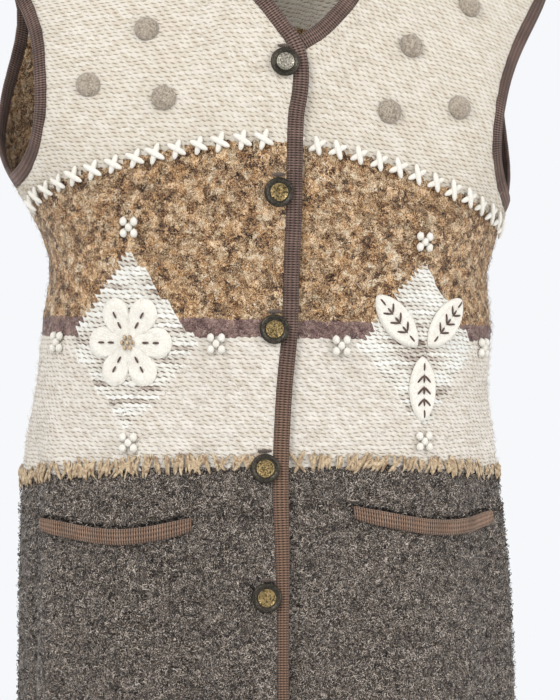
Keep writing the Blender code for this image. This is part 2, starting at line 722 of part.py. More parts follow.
def make_daisy():
    """A six-petalled daisy with a raised eye, on the right front."""

    def petals(radius, sector):
        swell = abs(math.cos(sector * DAISY_PETALS / 2)) ** DAISY_PETAL_ROUNDNESS
        reach = radius * DAISY_RADIUS * (1 - DAISY_NOTCH + DAISY_NOTCH * swell)
        return reach * math.cos(sector), reach * math.sin(sector)

    def crown(radius):
        return MOTIF_WALL * (1.0 if radius > DAISY_EYE_RADIUS else DAISY_EYE)

    applied("daisy", -1, MOTIF_RINGS, DAISY_SECTORS, petals, crown)


def make_leaves():
    """Three leaves of a sprig, each its own piece, on the left front."""
    for number, (round_by, up_by, turn_degrees) in enumerate(LEAVES, 1):
        turn = math.radians(turn_degrees)

        def blade(radius, sector, turn=turn, round_by=round_by, up_by=up_by):
            long_way = radius * LEAF_LENGTH / 2 * math.cos(sector)
            narrowed = abs(math.sin(sector)) ** LEAF_POINTEDNESS
            wide_way = radius * LEAF_WIDTH / 2 * math.sin(sector) * narrowed
            away = round_by + long_way * math.cos(turn) - wide_way * math.sin(turn)
            height = up_by + long_way * math.sin(turn) + wide_way * math.cos(turn)
            return away, height

        applied(f"leaf_{number}", 1, LEAF_RINGS, LEAF_SECTORS, blade, lambda radius: MOTIF_WALL)


def clear_scene():
    for old in list(bpy.data.objects):
        bpy.data.objects.remove(old)


def main():
    clear_scene()
    right = make_front("right_front", -1, RIGHT_FRONT_EDGE, CREAM)
    left = make_front("left_front", 1, LEFT_FRONT_EDGE, CREAM)
    back = make_back(TWEED)
    make_front_band("right_front_band", right, BAND_BROWN)
    make_front_band("left_front_band", left, BAND_BROWN)
    make_back_neck_band(back, BAND_BROWN)
    make_armhole_band("right_armhole_band", right, back, BAND_BROWN)
    make_armhole_band("left_armhole_band", left, back, BAND_BROWN)
    make_pocket("right_pocket", right, POCKET_BROWN, CHARCOAL)
    make_pocket("left_pocket", left, POCKET_BROWN, CHARCOAL)
    make_buttons()
    make_puffs()
    make_daisy()
    make_leaves()


main()
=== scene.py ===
import math

import bmesh
import bpy
import numpy as np
from mathutils import Matrix, Vector, kdtree, noise


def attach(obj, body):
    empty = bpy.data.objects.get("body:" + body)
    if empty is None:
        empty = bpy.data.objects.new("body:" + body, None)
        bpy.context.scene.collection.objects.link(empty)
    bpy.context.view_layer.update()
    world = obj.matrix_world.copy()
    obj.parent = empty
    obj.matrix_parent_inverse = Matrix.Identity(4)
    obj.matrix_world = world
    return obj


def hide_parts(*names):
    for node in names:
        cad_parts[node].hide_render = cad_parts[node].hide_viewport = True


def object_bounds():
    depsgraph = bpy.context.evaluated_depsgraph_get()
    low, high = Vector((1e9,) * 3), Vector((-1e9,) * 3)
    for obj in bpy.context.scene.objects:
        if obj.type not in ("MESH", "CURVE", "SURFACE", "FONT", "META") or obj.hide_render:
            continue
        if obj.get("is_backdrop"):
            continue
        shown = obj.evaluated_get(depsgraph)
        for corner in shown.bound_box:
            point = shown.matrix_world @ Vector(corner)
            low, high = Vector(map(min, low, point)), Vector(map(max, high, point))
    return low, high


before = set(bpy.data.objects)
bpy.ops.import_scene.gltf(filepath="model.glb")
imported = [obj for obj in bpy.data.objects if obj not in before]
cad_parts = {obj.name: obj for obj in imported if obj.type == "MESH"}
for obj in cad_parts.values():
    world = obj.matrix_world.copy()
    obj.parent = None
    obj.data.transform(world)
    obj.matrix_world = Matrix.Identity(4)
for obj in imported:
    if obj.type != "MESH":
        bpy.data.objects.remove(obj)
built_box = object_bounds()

chance = np.random.default_rng(7)

# The right front
# A panel hand knitted from the hem up in purl-faced mohair, with the yarn changed at the yoke, at the
# waist and at the skirt. It is shaped at the neck and the armhole and has a slit for the pocket.
UNDERARM_HEIGHT = -0.281
RIDGE_HEIGHT = 0.041
RISE_SPAN = RIDGE_HEIGHT - UNDERARM_HEIGHT
BELOW_SPAN = 0.300
HEM_HEIGHT = -0.805
SHOULDER_SLOPE = 0.366
SLOPE_SOFTNESS = 0.05
NECK_HALF_WIDTH = 0.096
SHOULDERS_BACK = 0.010
SQUARENESS = 2.3
CHEST_UPRIGHTNESS = 2.2
BACK_UPRIGHTNESS = 2.8
SECTION_COLUMNS = ("height", "half_width", "sway", "front_depth", "back_depth")
SECTIONS = (
    (-0.805, 0.2200, 0.0040, 0.150, 0.140),
    (-0.700, 0.2185, 0.0032, 0.147, 0.140),
    (-0.600, 0.2155, 0.0012, 0.140, 0.136),
    (-0.515, 0.2090, -0.0020, 0.132, 0.126),
    (-0.450, 0.2030, 0.0000, 0.126, 0.118),
    (-0.390, 0.2010, 0.0050, 0.124, 0.114),
    (-0.335, 0.1975, 0.0055, 0.128, 0.116),
    (-0.305, 0.2080, 0.0025, 0.130, 0.119),
    (-0.281, 0.2190, -0.0005, 0.132, 0.122),
    (-0.240, 0.2330, -0.0020, 0.133, 0.126),
    (-0.180, 0.2430, 0.0000, 0.133, 0.128),
    (-0.100, 0.2500, 0.0060, 0.130, 0.128),
    (0.041, 0.2560, 0.0110, 0.125, 0.120),
)
FOLD_COLUMNS = ("angle", "width", "out", "low", "high")
FOLDS = (
    (-62.0, 7.0, 0.0060, -0.90, -0.50),
    (-77.0, 6.0, -0.0090, -0.90, -0.53),
    (-101.0, 9.0, 0.0045, -0.90, -0.50),
    (-20.0, 8.0, -0.0045, -0.90, -0.57),
    (15.0, 7.0, -0.0060, -0.90, -0.46),
    (59.0, 9.0, -0.0055, -0.90, -0.56),
    (75.0, 7.0, 0.0050, -0.90, -0.50),
    (-47.0, 8.0, 0.0035, -0.27, -0.12),
    (46.0, 8.0, 0.0030, -0.27, -0.13),
    (122.0, 9.0, -0.0060, -0.90, -0.48),
    (150.0, 12.0, 0.0060, -0.90, -0.40),
    (180.0, 13.0, -0.0050, -0.90, -0.44),
    (-152.0, 12.0, 0.0065, -0.90, -0.42),
    (-126.0, 9.0, -0.0055, -0.90, -0.50),
)
FOLD_FADE = 0.06
LEAN = 0.050
LEAN_FADE = (-0.47, -0.28)
FRONT_EDGE_COLUMNS = ("height", "across")
RIGHT_FRONT_EDGE = (
    (-0.805, 0.0110),
    (-0.700, 0.0105),
    (-0.560, 0.0062),
    (-0.450, 0.0030),
    (-0.400, 0.0025),
    (-0.340, 0.0025),
    (-0.280, -0.0055),
    (-0.215, -0.0085),
    (-0.172, -0.0108),
    (-0.160, -0.0075),
    (-0.144, 0.0035),
    (-0.127, 0.0180),
    (-0.1095, 0.0325),
    (-0.060, 0.0665),
    (-0.015, 0.0870),
)
ARMHOLE_COLUMNS = ("direction", "deepest", "at_rise", "roundness", "at_shoulder")
FRONT_ARMHOLE = (-1, 39.5, 0.21, 2.8, 12.0)
ARMHOLE_SWING = 3.4
UNDERARM_DIP = 0.008
LIFT = 0.0064
LIFT_AT_HEM = 0.0035
LIFT_HEM_FADE = (-0.75, -0.45)
LIFT_FADE_ACROSS = (-0.080, -0.034)
LIFT_FADE_UP = (-0.135, -0.070)
FRONT_COLUMNS = 14
ROWS_BELOW_POCKET = 13
ROWS_ABOVE_POCKET = 15
ROWS_OVER_UNDERARM = 17
POCKET_HEIGHTS = {-1: -0.5535, 1: -0.5480}
POCKET_TILTS = {-1: 0.0020, 1: 0.0065}
POCKET_MOUTH = 0.0034
POCKET_SAG = 0.010
POCKET_SAG_REACH = 0.05
POCKET_COLUMNS = (4, 11)
POCKET_SHIFTS = {-1: 1.06, 1: 0.0}
POCKET_SHIFT_SKEW = 1.3
FRONT_FINENESS = (8, 7)
CLOTH_THICKNESS = 0.0026
LUMP_SIZE = 0.011
LUMP_HEIGHT = 0.0011


def columns_of(rows, names):
    """A table's rows as one array for each named column."""
    return {name: np.array([row[i] for row in rows]) for i, name in enumerate(names)}


def smooth_through(x, xs, ys):
    """A curve through the points (xs, ys) with no corners, read at x."""
    x = np.clip(x, xs[0], xs[-1])
    i = np.clip(np.searchsorted(xs, x) - 1, 0, len(xs) - 2)
    slopes = np.gradient(ys, xs)
    width = xs[i + 1] - xs[i]
    t = (x - xs[i]) / width
    start = ys[i] * (1 + 2 * t) * (1 - t) ** 2 + slopes[i] * width * t * (1 - t) ** 2
    end = ys[i + 1] * t * t * (3 - 2 * t) - slopes[i + 1] * width * t * t * (1 - t)
    return start + end


def ease(x, low, high):
    t = np.clip((x - low) / (high - low), 0, 1)
    return t * t * (3 - 2 * t)


def signed_power(x, power):
    return np.sign(x) * np.abs(x) ** power


BODY = columns_of(SECTIONS, SECTION_COLUMNS)
FOLD = columns_of(FOLDS, FOLD_COLUMNS)


def shoulder_drop(x):
    return SHOULDER_SLOPE * x * x / (np.abs(x) + SLOPE_SOFTNESS)


def fold_out(angle, height):
    """How far the folds push the cloth out at an angle and a height."""
    away = (angle[..., None] - FOLD["angle"] + 180) % 360 - 180
    shape = np.exp(-((away / FOLD["width"]) ** 2))
    low = ease(height[..., None], FOLD["low"] - FOLD_FADE, FOLD["low"])
    high = 1 - ease(height[..., None], FOLD["high"], FOLD["high"] + FOLD_FADE)
    return (FOLD["out"] * shape * low * high).sum(-1)


def body_points(angle, rise):
    """The cloth's outer face at an angle round the body and a rise: 0 at the underarm, 1 on the shoulder."""
    angle, rise = np.broadcast_arrays(np.asarray(angle, float), np.asarray(rise, float))
    turn = np.radians(angle)
    front = np.cos(turn) >= 0
    power = np.where(front, 2 / CHEST_UPRIGHTNESS, 2 / BACK_UPRIGHTNESS)
    arc = np.clip(rise, 0, 1) * math.pi / 2
    up = np.sin(arc) ** power
    height = UNDERARM_HEIGHT + np.where(rise > 0, RISE_SPAN * up, rise * BELOW_SPAN)
    half_width = smooth_through(height, BODY["height"], BODY["half_width"])
    front_depth = smooth_through(height, BODY["height"], BODY["front_depth"])
    back_depth = smooth_through(height, BODY["height"], BODY["back_depth"])
    depth = np.where(front, front_depth, back_depth) * np.clip(np.cos(arc), 0, 1) ** power
    x = half_width * signed_power(np.sin(turn), 2 / SQUARENESS)
    y = -depth * signed_power(np.cos(turn), 2 / SQUARENESS)
    across = x / half_width**2
    along = y / np.maximum(depth, 0.02) ** 2
    out = fold_out(angle, height) / np.maximum(np.hypot(across, along), 1e-9)
    x = x + across * out
    y = y + along * out + SHOULDERS_BACK * up * (rise > 0)
    z = height - shoulder_drop(x) * up * (rise > 0)
    swayed = x + smooth_through(height, BODY["height"], BODY["sway"])
    return np.stack([swayed, y, z - LEAN * x * ease(z, *LEAN_FADE)], -1)


def body_normals(angle, rise):
    angle, rise = np.broadcast_arrays(np.asarray(angle, float), np.asarray(rise, float))
    round_step, up_step = 0.2, 0.003
    top = np.minimum(rise + up_step, 1.0)
    sideways = body_points(angle + round_step, rise) - body_points(angle - round_step, rise)
    upward = body_points(angle, top) - body_points(angle, rise - up_step)
    over_ridge = np.zeros_like(upward)
    over_ridge[..., 1] = np.where(np.cos(np.radians(angle)) >= 0, 1.0, -1.0)
    upward = np.where((rise > 0.9999)[..., None], over_ridge, upward)
    normal = np.cross(sideways, upward)
    return normal / np.linalg.norm(normal, axis=-1, keepdims=True)


def pattern_of(across, height):
    """Angle and rise on the front of a point across from the centre, at a height."""
    up = np.clip((height - UNDERARM_HEIGHT) / (RISE_SPAN - shoulder_drop(across)), 0, 1)
    over = (2 / math.pi) * np.arcsin(up ** (CHEST_UPRIGHTNESS / 2))
    rise = np.where(height > UNDERARM_HEIGHT, over, (height - UNDERARM_HEIGHT) / BELOW_SPAN)
    level = np.where(height > UNDERARM_HEIGHT, UNDERARM_HEIGHT + RISE_SPAN * up, height)
    half_width = smooth_through(level, BODY["height"], BODY["half_width"])
    share = signed_power(across / half_width, SQUARENESS / 2)
    return np.degrees(np.arcsin(np.clip(share, -1, 1))), rise


def evenly(angle, rise, count):
    """The same line in pattern coordinates, with count + 1 points at equal lengths along the cloth."""
    steps = np.linalg.norm(np.diff(body_points(angle, rise), axis=0), axis=1)
    length = np.concatenate([[0], np.cumsum(steps)])
    at = np.linspace(0, length[-1], count + 1)
    return np.interp(at, length, angle), np.interp(at, length, rise)


def front_edge(table, low, high, samples=400):
    """A front's own edge between two heights."""
    edge = columns_of(table, FRONT_EDGE_COLUMNS)
    ridge = RIDGE_HEIGHT - shoulder_drop(NECK_HALF_WIDTH)
    heights = np.append(edge["height"], ridge)
    across = np.append(edge["across"], NECK_HALF_WIDTH)
    height = np.linspace(low, min(high, ridge), samples)
    return pattern_of(smooth_through(height, heights, across), height)


def armhole_edge(armhole, count):
    """The armhole's cut from the underarm to the shoulder."""
    cut = dict(zip(ARMHOLE_COLUMNS, armhole))
    bottom = cut["at_rise"] * np.linspace(0, 1, 400) ** 3
    curve = 1 - (1 - bottom / cut["at_rise"]) ** cut["roundness"]
    low_cut = cut["deepest"] * curve ** (1 / cut["roundness"])
    share = np.linspace(0, 1, 200)[1:]
    swing = np.cos(share * math.pi / 2) ** ARMHOLE_SWING
    high_cut = cut["at_shoulder"] + (cut["deepest"] - cut["at_shoulder"]) * swing
    angle = 90 + cut["direction"] * np.concatenate([low_cut, high_cut])
    rise = np.concatenate([bottom, cut["at_rise"] + share * (1 - cut["at_rise"])])
    return evenly(angle, rise, count)


def patch_between(bottom, top, start, end):
    """Pattern coordinates inside four edge lines that share their corners."""
    u = np.linspace(0, 1, len(bottom))[None, :]
    v = np.linspace(0, 1, len(start))[:, None]
    ruled = (1 - v) * bottom[None, :] + v * top[None, :]
    ruled = ruled + (1 - u) * start[:, None] + u * end[:, None]
    low = (1 - u) * bottom[0] + u * bottom[-1]
    high = (1 - u) * top[0] + u * top[-1]
    return ruled - (1 - v) * low - v * high


def dipped(rises):
    """A row of rises that sags between its ends, so that it passes below the armhole's round bottom."""
    share = np.linspace(0, math.pi, len(rises))
    return rises - UNDERARM_DIP / BELOW_SPAN * np.sqrt(np.clip(np.sin(share), 0, 1))


def front_pattern(side, table):
    """Angle and rise of every grid point of a front."""
    angles, rises = [], []
    edge = front_edge(table, HEM_HEIGHT, UNDERARM_HEIGHT)
    middle = sum(POCKET_COLUMNS) / 2
    half = (POCKET_COLUMNS[1] - POCKET_COLUMNS[0]) / 2 + 1
    columns = np.arange(FRONT_COLUMNS + 1)
    away = np.sin((columns / FRONT_COLUMNS) ** POCKET_SHIFT_SKEW * math.pi)
    shifted = columns - POCKET_SHIFTS[side] * away
    along_pocket = np.clip((columns - middle) / half, -1, 1)
    height_of_pocket = POCKET_HEIGHTS[side]
    drop = POCKET_SAG * np.cos(along_pocket * math.pi / 2) ** 2
    upright = np.clip(np.sin(columns / FRONT_COLUMNS * math.pi), 0, 1) ** 0.5
    drop = drop + POCKET_TILTS[side] * along_pocket * upright
    below = np.linspace(HEM_HEIGHT, height_of_pocket - POCKET_MOUTH, ROWS_BELOW_POCKET + 1)
    above = np.linspace(height_of_pocket, UNDERARM_HEIGHT, ROWS_ABOVE_POCKET + 1)
    for height in np.concatenate([below, above]):
        rise = (height - UNDERARM_HEIGHT) / BELOW_SPAN
        first = np.interp(rise, edge[1], edge[0])
        line = np.linspace(first, 90, 200)
        angle, _ = evenly(side * line, np.full(200, rise), FRONT_COLUMNS)
        angle = np.interp(shifted, columns, angle)
        near = math.exp(-(((height - height_of_pocket) / POCKET_SAG_REACH) ** 2))
        angles.append(side * angle)
        rises.append(rise - near * drop / BELOW_SPAN)
    neck = front_edge(table, UNDERARM_HEIGHT, RIDGE_HEIGHT)
    neck = evenly(neck[0], neck[1], ROWS_OVER_UNDERARM)
    rises[-1] = dipped(rises[-1])
    arm = armhole_edge(FRONT_ARMHOLE, ROWS_OVER_UNDERARM)
    shoulder = evenly(np.linspace(neck[0][-1], arm[0][-1], 200), np.ones(200), FRONT_COLUMNS)
    over_angle = patch_between(angles[-1], shoulder[0], neck[0], arm[0])
    over_rise = patch_between(rises[-1], shoulder[1], neck[1], arm[1])
    angle = np.vstack([np.array(angles), over_angle[1:]])
    rise = np.vstack([np.array(rises), over_rise[1:]])
    return side * angle, np.clip(rise, None, 1)


def finer(grid, factor, axis, softly=True):
    """A grid of numbers with factor times as many steps along one axis, on a smooth or a straight course."""
    grid = np.moveaxis(grid, axis, 0)
    at = np.arange((grid.shape[0] - 1) * factor + 1) / factor
    i = np.minimum(at.astype(int), grid.shape[0] - 2)
    t = (at - i)[:, None]
    fine = grid[i] * (1 - t) + grid[i + 1] * t
    if softly:
        slopes = np.gradient(grid, axis=0)
        fine = grid[i] * (1 + 2 * t) * (1 - t) ** 2 + slopes[i] * t * (1 - t) ** 2
        fine = fine + grid[i + 1] * t * t * (3 - 2 * t) - slopes[i + 1] * t * t * (1 - t)
    return np.moveaxis(fine, 0, axis)


def finer_panel(grid, fineness, low_rows):
    """A panel's pattern grid, knitted finer: straight courses below the underarm, smooth ones above it."""
    below = finer(grid[: low_rows + 1], fineness[0], 0, softly=False)
    above = finer(grid[low_rows:], fineness[0], 0)
    return finer(np.vstack([below, above[1:]]), fineness[1], 1)


def lift_of(points):
    """How far the right front stands off the left one, along the buttons."""
    x, z = points[..., 0], points[..., 2]
    across = x - smooth_through(z, BODY["height"], BODY["sway"])
    out = LIFT + LIFT_AT_HEM * (1 - ease(z, *LIFT_HEM_FADE))
    return out * ease(across, *LIFT_FADE_ACROSS) * (1 - ease(z, *LIFT_FADE_UP))


def face_of(angle, rise, side):
    """Outer face and normals of a panel: side is -1 for the right front, 1 for the left, 0 for the back."""
    points = body_points(angle, rise)
    normals = body_normals(angle, rise)
    if side < 0:
        points = points + normals * lift_of(points)[..., None]
    return points, normals


def mesh_of(name, bm):
    """The bmesh's shape as a mesh. The bmesh is used up."""
    mesh = bpy.data.meshes.new(name)
    bm.to_mesh(mesh)
    bm.free()
    return mesh


def laid_out(name, data):
    """An object of the scene, at the origin, that shows a mesh, a lamp or a camera."""
    made = bpy.data.objects.new(name, data)
    bpy.context.scene.collection.objects.link(made)
    return made


def woven_mesh(name, places, knit, gone=None, tube=False, flip=False):
    """A mesh from rows and columns of places, with its UV map in metres, less the cells marked in gone."""
    rows, columns = places.shape[0] - 1, places.shape[1] - 1
    bm = bmesh.new()
    bmesh.ops.create_grid(bm, x_segments=columns, y_segments=rows, size=0.5)
    mesh = mesh_of(name, bm)
    flat = np.empty(len(mesh.vertices) * 3, np.float32)
    mesh.vertices.foreach_get("co", flat)
    on_grid = np.rint((flat.reshape(-1, 3)[:, :2].astype(float) + 0.5) * (columns, rows)).astype(int)
    mesh.vertices.foreach_set("co", places[on_grid[:, 1], on_grid[:, 0]].astype(np.float32).ravel())
    corners = np.empty(len(mesh.loops), np.int32)
    mesh.loops.foreach_get("vertex_index", corners)
    at = on_grid[corners]
    layer = mesh.uv_layers.new(name="knit")
    layer.data.foreach_set("uv", knit[at[:, 1], at[:, 0]].astype(np.float32).ravel())
    bm = bmesh.new()
    bm.from_mesh(mesh)
    if gone is not None:
        low = at.reshape(-1, 4, 2).min(1)
        lost = gone[low[:, 1], low[:, 0]]
        bmesh.ops.delete(bm, geom=[face for face, out in zip(bm.faces, lost) if out], context="FACES")
    if flip:
        bmesh.ops.reverse_faces(bm, faces=bm.faces)
    if tube:
        bmesh.ops.remove_doubles(bm, verts=bm.verts, dist=1e-6)
        loose = [edge for edge in bm.edges if edge.is_boundary]
        bmesh.ops.holes_fill(bm, edges=loose)
        bmesh.ops.recalc_face_normals(bm, faces=bm.faces)
    bm.to_mesh(mesh)
    bm.free()
    mesh.shade_smooth()
    return laid_out(name, mesh)


def lumps(points, normals):
    """Soft unevenness of hand-knitted cloth."""
    flat = points.reshape(-1, 3)
    out = np.array([noise.noise(Vector(p / LUMP_SIZE)) for p in flat]).reshape(points.shape[:-1])
    return points + normals * (out * LUMP_HEIGHT)[..., None]


def knit_map(points, side, rise, first_across):
    """UV coordinates in metres: distance round from the centre, and distance up the cloth from the hem."""
    steps = np.linalg.norm(np.diff(points, axis=1), axis=2)
    away = np.concatenate([np.zeros((len(points), 1)), np.cumsum(steps, axis=1)], axis=1)
    guide_rise = np.linspace(-1.8, 1, 600)
    guide = body_points(45.0 if side else 135.0, guide_rise)
    up = np.concatenate([[0], np.cumsum(np.linalg.norm(np.diff(guide, axis=0), axis=1))])
    start = np.interp(0.0, guide_rise, up)
    height = UNDERARM_HEIGHT + np.interp(rise, guide_rise, up) - start
    return np.stack([first_across + away, height], -1)


def colour_of(red, green, blue, share=0.76):
    """The share of light that yarn sends back, from the 0 to 255 numbers of its colour in studio light."""
    parts = [part / 255 for part in (red, green, blue)]
    linear = [p / 12.92 if p <= 0.04045 else ((p + 0.055) / 1.055) ** 2.4 for p in parts]
    return (*[part * share for part in linear], 1.0)


def add_node(tree, kind, inputs=None, **settings):
    """A shader node with its settings and its inputs, which are numbers or the outputs of other nodes."""
    made = tree.nodes.new(kind)
    for key, value in settings.items():
        setattr(made, key, value)
    for key, value in (inputs or {}).items():
        if isinstance(value, bpy.types.NodeSocket):
            tree.links.new(value, made.inputs[key])
        else:
            made.inputs[key].default_value = value
    return made


def calc(tree, operation, *values):
    """A sum on up to three numbers."""
    return add_node(tree, "ShaderNodeMath", dict(enumerate(values)), operation=operation).outputs[0]


def blended(tree, share, first, second, mode="MIX"):
    """Two colours mixed."""
    inputs = {0: share, 6: first, 7: second}
    return add_node(tree, "ShaderNodeMix", inputs, data_type="RGBA", blend_type=mode).outputs[2]


def mottled(tree, at, scale, detail, roughness=0.5, distortion=0.0):
    """A noise node read at a place on the piece."""
    inputs = {"Vector": at, "Scale": scale, "Detail": detail, "Roughness": roughness}
    return add_node(tree, "ShaderNodeTexNoise", inputs | {"Distortion": distortion})


def moved_by(tree, at, way, size):
    """A place moved along a vector of a size."""
    step = add_node(tree, "ShaderNodeVectorMath", {0: way, "Scale": size}, operation="SCALE").outputs[0]
    return add_node(tree, "ShaderNodeVectorMath", {0: at, 1: step}, operation="ADD").outputs[0]


def raised(tree, shader, height, strength, distance):
    """The relief of a surface, from a height in shares of a distance in metres."""
    bump = add_node(tree, "ShaderNodeBump", {"Strength": strength, "Distance": distance, "Height": height})
    tree.links.new(bump.outputs[0], shader.inputs["Normal"])


def yarn_ramp(tree, at, colours, interpolation="LINEAR"):
    """The colours of a yarn, spread over a number from 0 to 1."""
    ramp = add_node(tree, "ShaderNodeValToRGB", {0: at})
    ramp.color_ramp.interpolation = interpolation
    stops = ramp.color_ramp.elements
    while len(stops) < len(colours):
        stops.new(0.5)
    for i, colour in enumerate(colours):
        stops[i].position = i / (len(colours) - 1)
        stops[i].color = colour_of(*colour)
    return ramp.outputs[0]


def wool_material(name, sheen=0.12):
    """A dull wool surface with a faint sheen. Returns the material, its nodes and its shader."""
    made = bpy.data.materials.new(name)
    made.use_nodes = True
    shader = made.node_tree.nodes["Principled BSDF"]
    shader.inputs["Roughness"].default_value = 0.95
    shader.inputs["Specular IOR Level"].default_value = 0.08
    shader.inputs["Sheen Weight"].default_value = sheen
    shader.inputs["Sheen Roughness"].default_value = 0.6
    return made, made.node_tree, shader


STITCH_WIDTH = 0.0060
STITCH_HEIGHT = 0.0036
STITCH_SLANT = 0.36
COURSE_WAVE = -0.10
UNEVEN_GRAIN = 90.0
UNEVEN_PULL = 0.0045
TWIST_RUN = (0.12, 0.9, 1.0)
FIBRE_GRAIN = 460.0
CLOUD_GRAIN = 105.0
FRAY_GRAIN = 260.0
FRAY_REACH = 0.014
TUFT_GRAIN = 215.0
CURL_GRAIN = 250.0
SLIT_SHARPNESS = 2.6
SLIT_LENGTH = 1.8
SLIT_DEPTH = 0.95
SLIT_UNEVENNESS = 0.30
KNIT_RELIEF = (0.8, 0.0013)
YARN_COLUMNS = ("made", "looped", "dyed", "colours")
YARN_TABLE = {
    "cream": ("spun", 0.0, 0.0, ((238, 232, 220), (229, 220, 205), (220, 208, 189), (200, 178, 149))),
    "oatmeal": ("spun", 0.0, 0.0, ((244, 238, 229), (236, 228, 216), (225, 215, 199), (206, 189, 166))),
    "marl": (
        "twisted",
        0.0,
        0.0,
        ((250, 249, 242), (243, 240, 230), (220, 211, 197), (146, 126, 114), (88, 69, 64)),
    ),
    "tweed": (
        "brushed",
        0.7,
        0.9,
        (
            (26, 21, 23),
            (66, 52, 49),
            (122, 95, 73),
            (170, 139, 104),
            (200, 173, 134),
            (222, 202, 170),
            (244, 234, 216),
        ),
    ),
    "mauve": ("brushed", 0.5, 0.1, ((70, 52, 52), (118, 94, 90), (146, 120, 112), (184, 160, 148))),
    "charcoal": (
        "curled",
        0.9,
        0.12,
        ((24, 21, 20), (50, 44, 41), (82, 74, 68), (112, 102, 95), (158, 147, 136), (214, 203, 190)),
    ),
}
YARNS = {yarn: dict(zip(YARN_COLUMNS, row)) for yarn, row in YARN_TABLE.items()}
TUFT_DYES = ((1.13, 0.93, 0.74, 1.0), (0.95, 0.97, 1.00, 1.0))
# Painted shade for the slits between the stitches: a warm dark tint that the knit's colour is multiplied by
# where its relief is low.
SLIT_SHADE = (0.50, 0.40, 0.29, 1.0)
UNSHADED = (1.0, 1.0, 1.0, 1.0)


def drawn_yarn(tree, yarn, drawn, dye):
    """A yarn's own colours, dyed here and there. drawn gives each making's number from 0 to 1."""
    plain = yarn_ramp(tree, drawn[YARNS[yarn]["made"]], YARNS[yarn]["colours"])
    return blended(tree, YARNS[yarn]["dyed"], plain, blended(tree, 1.0, plain, dye, "MULTIPLY"))


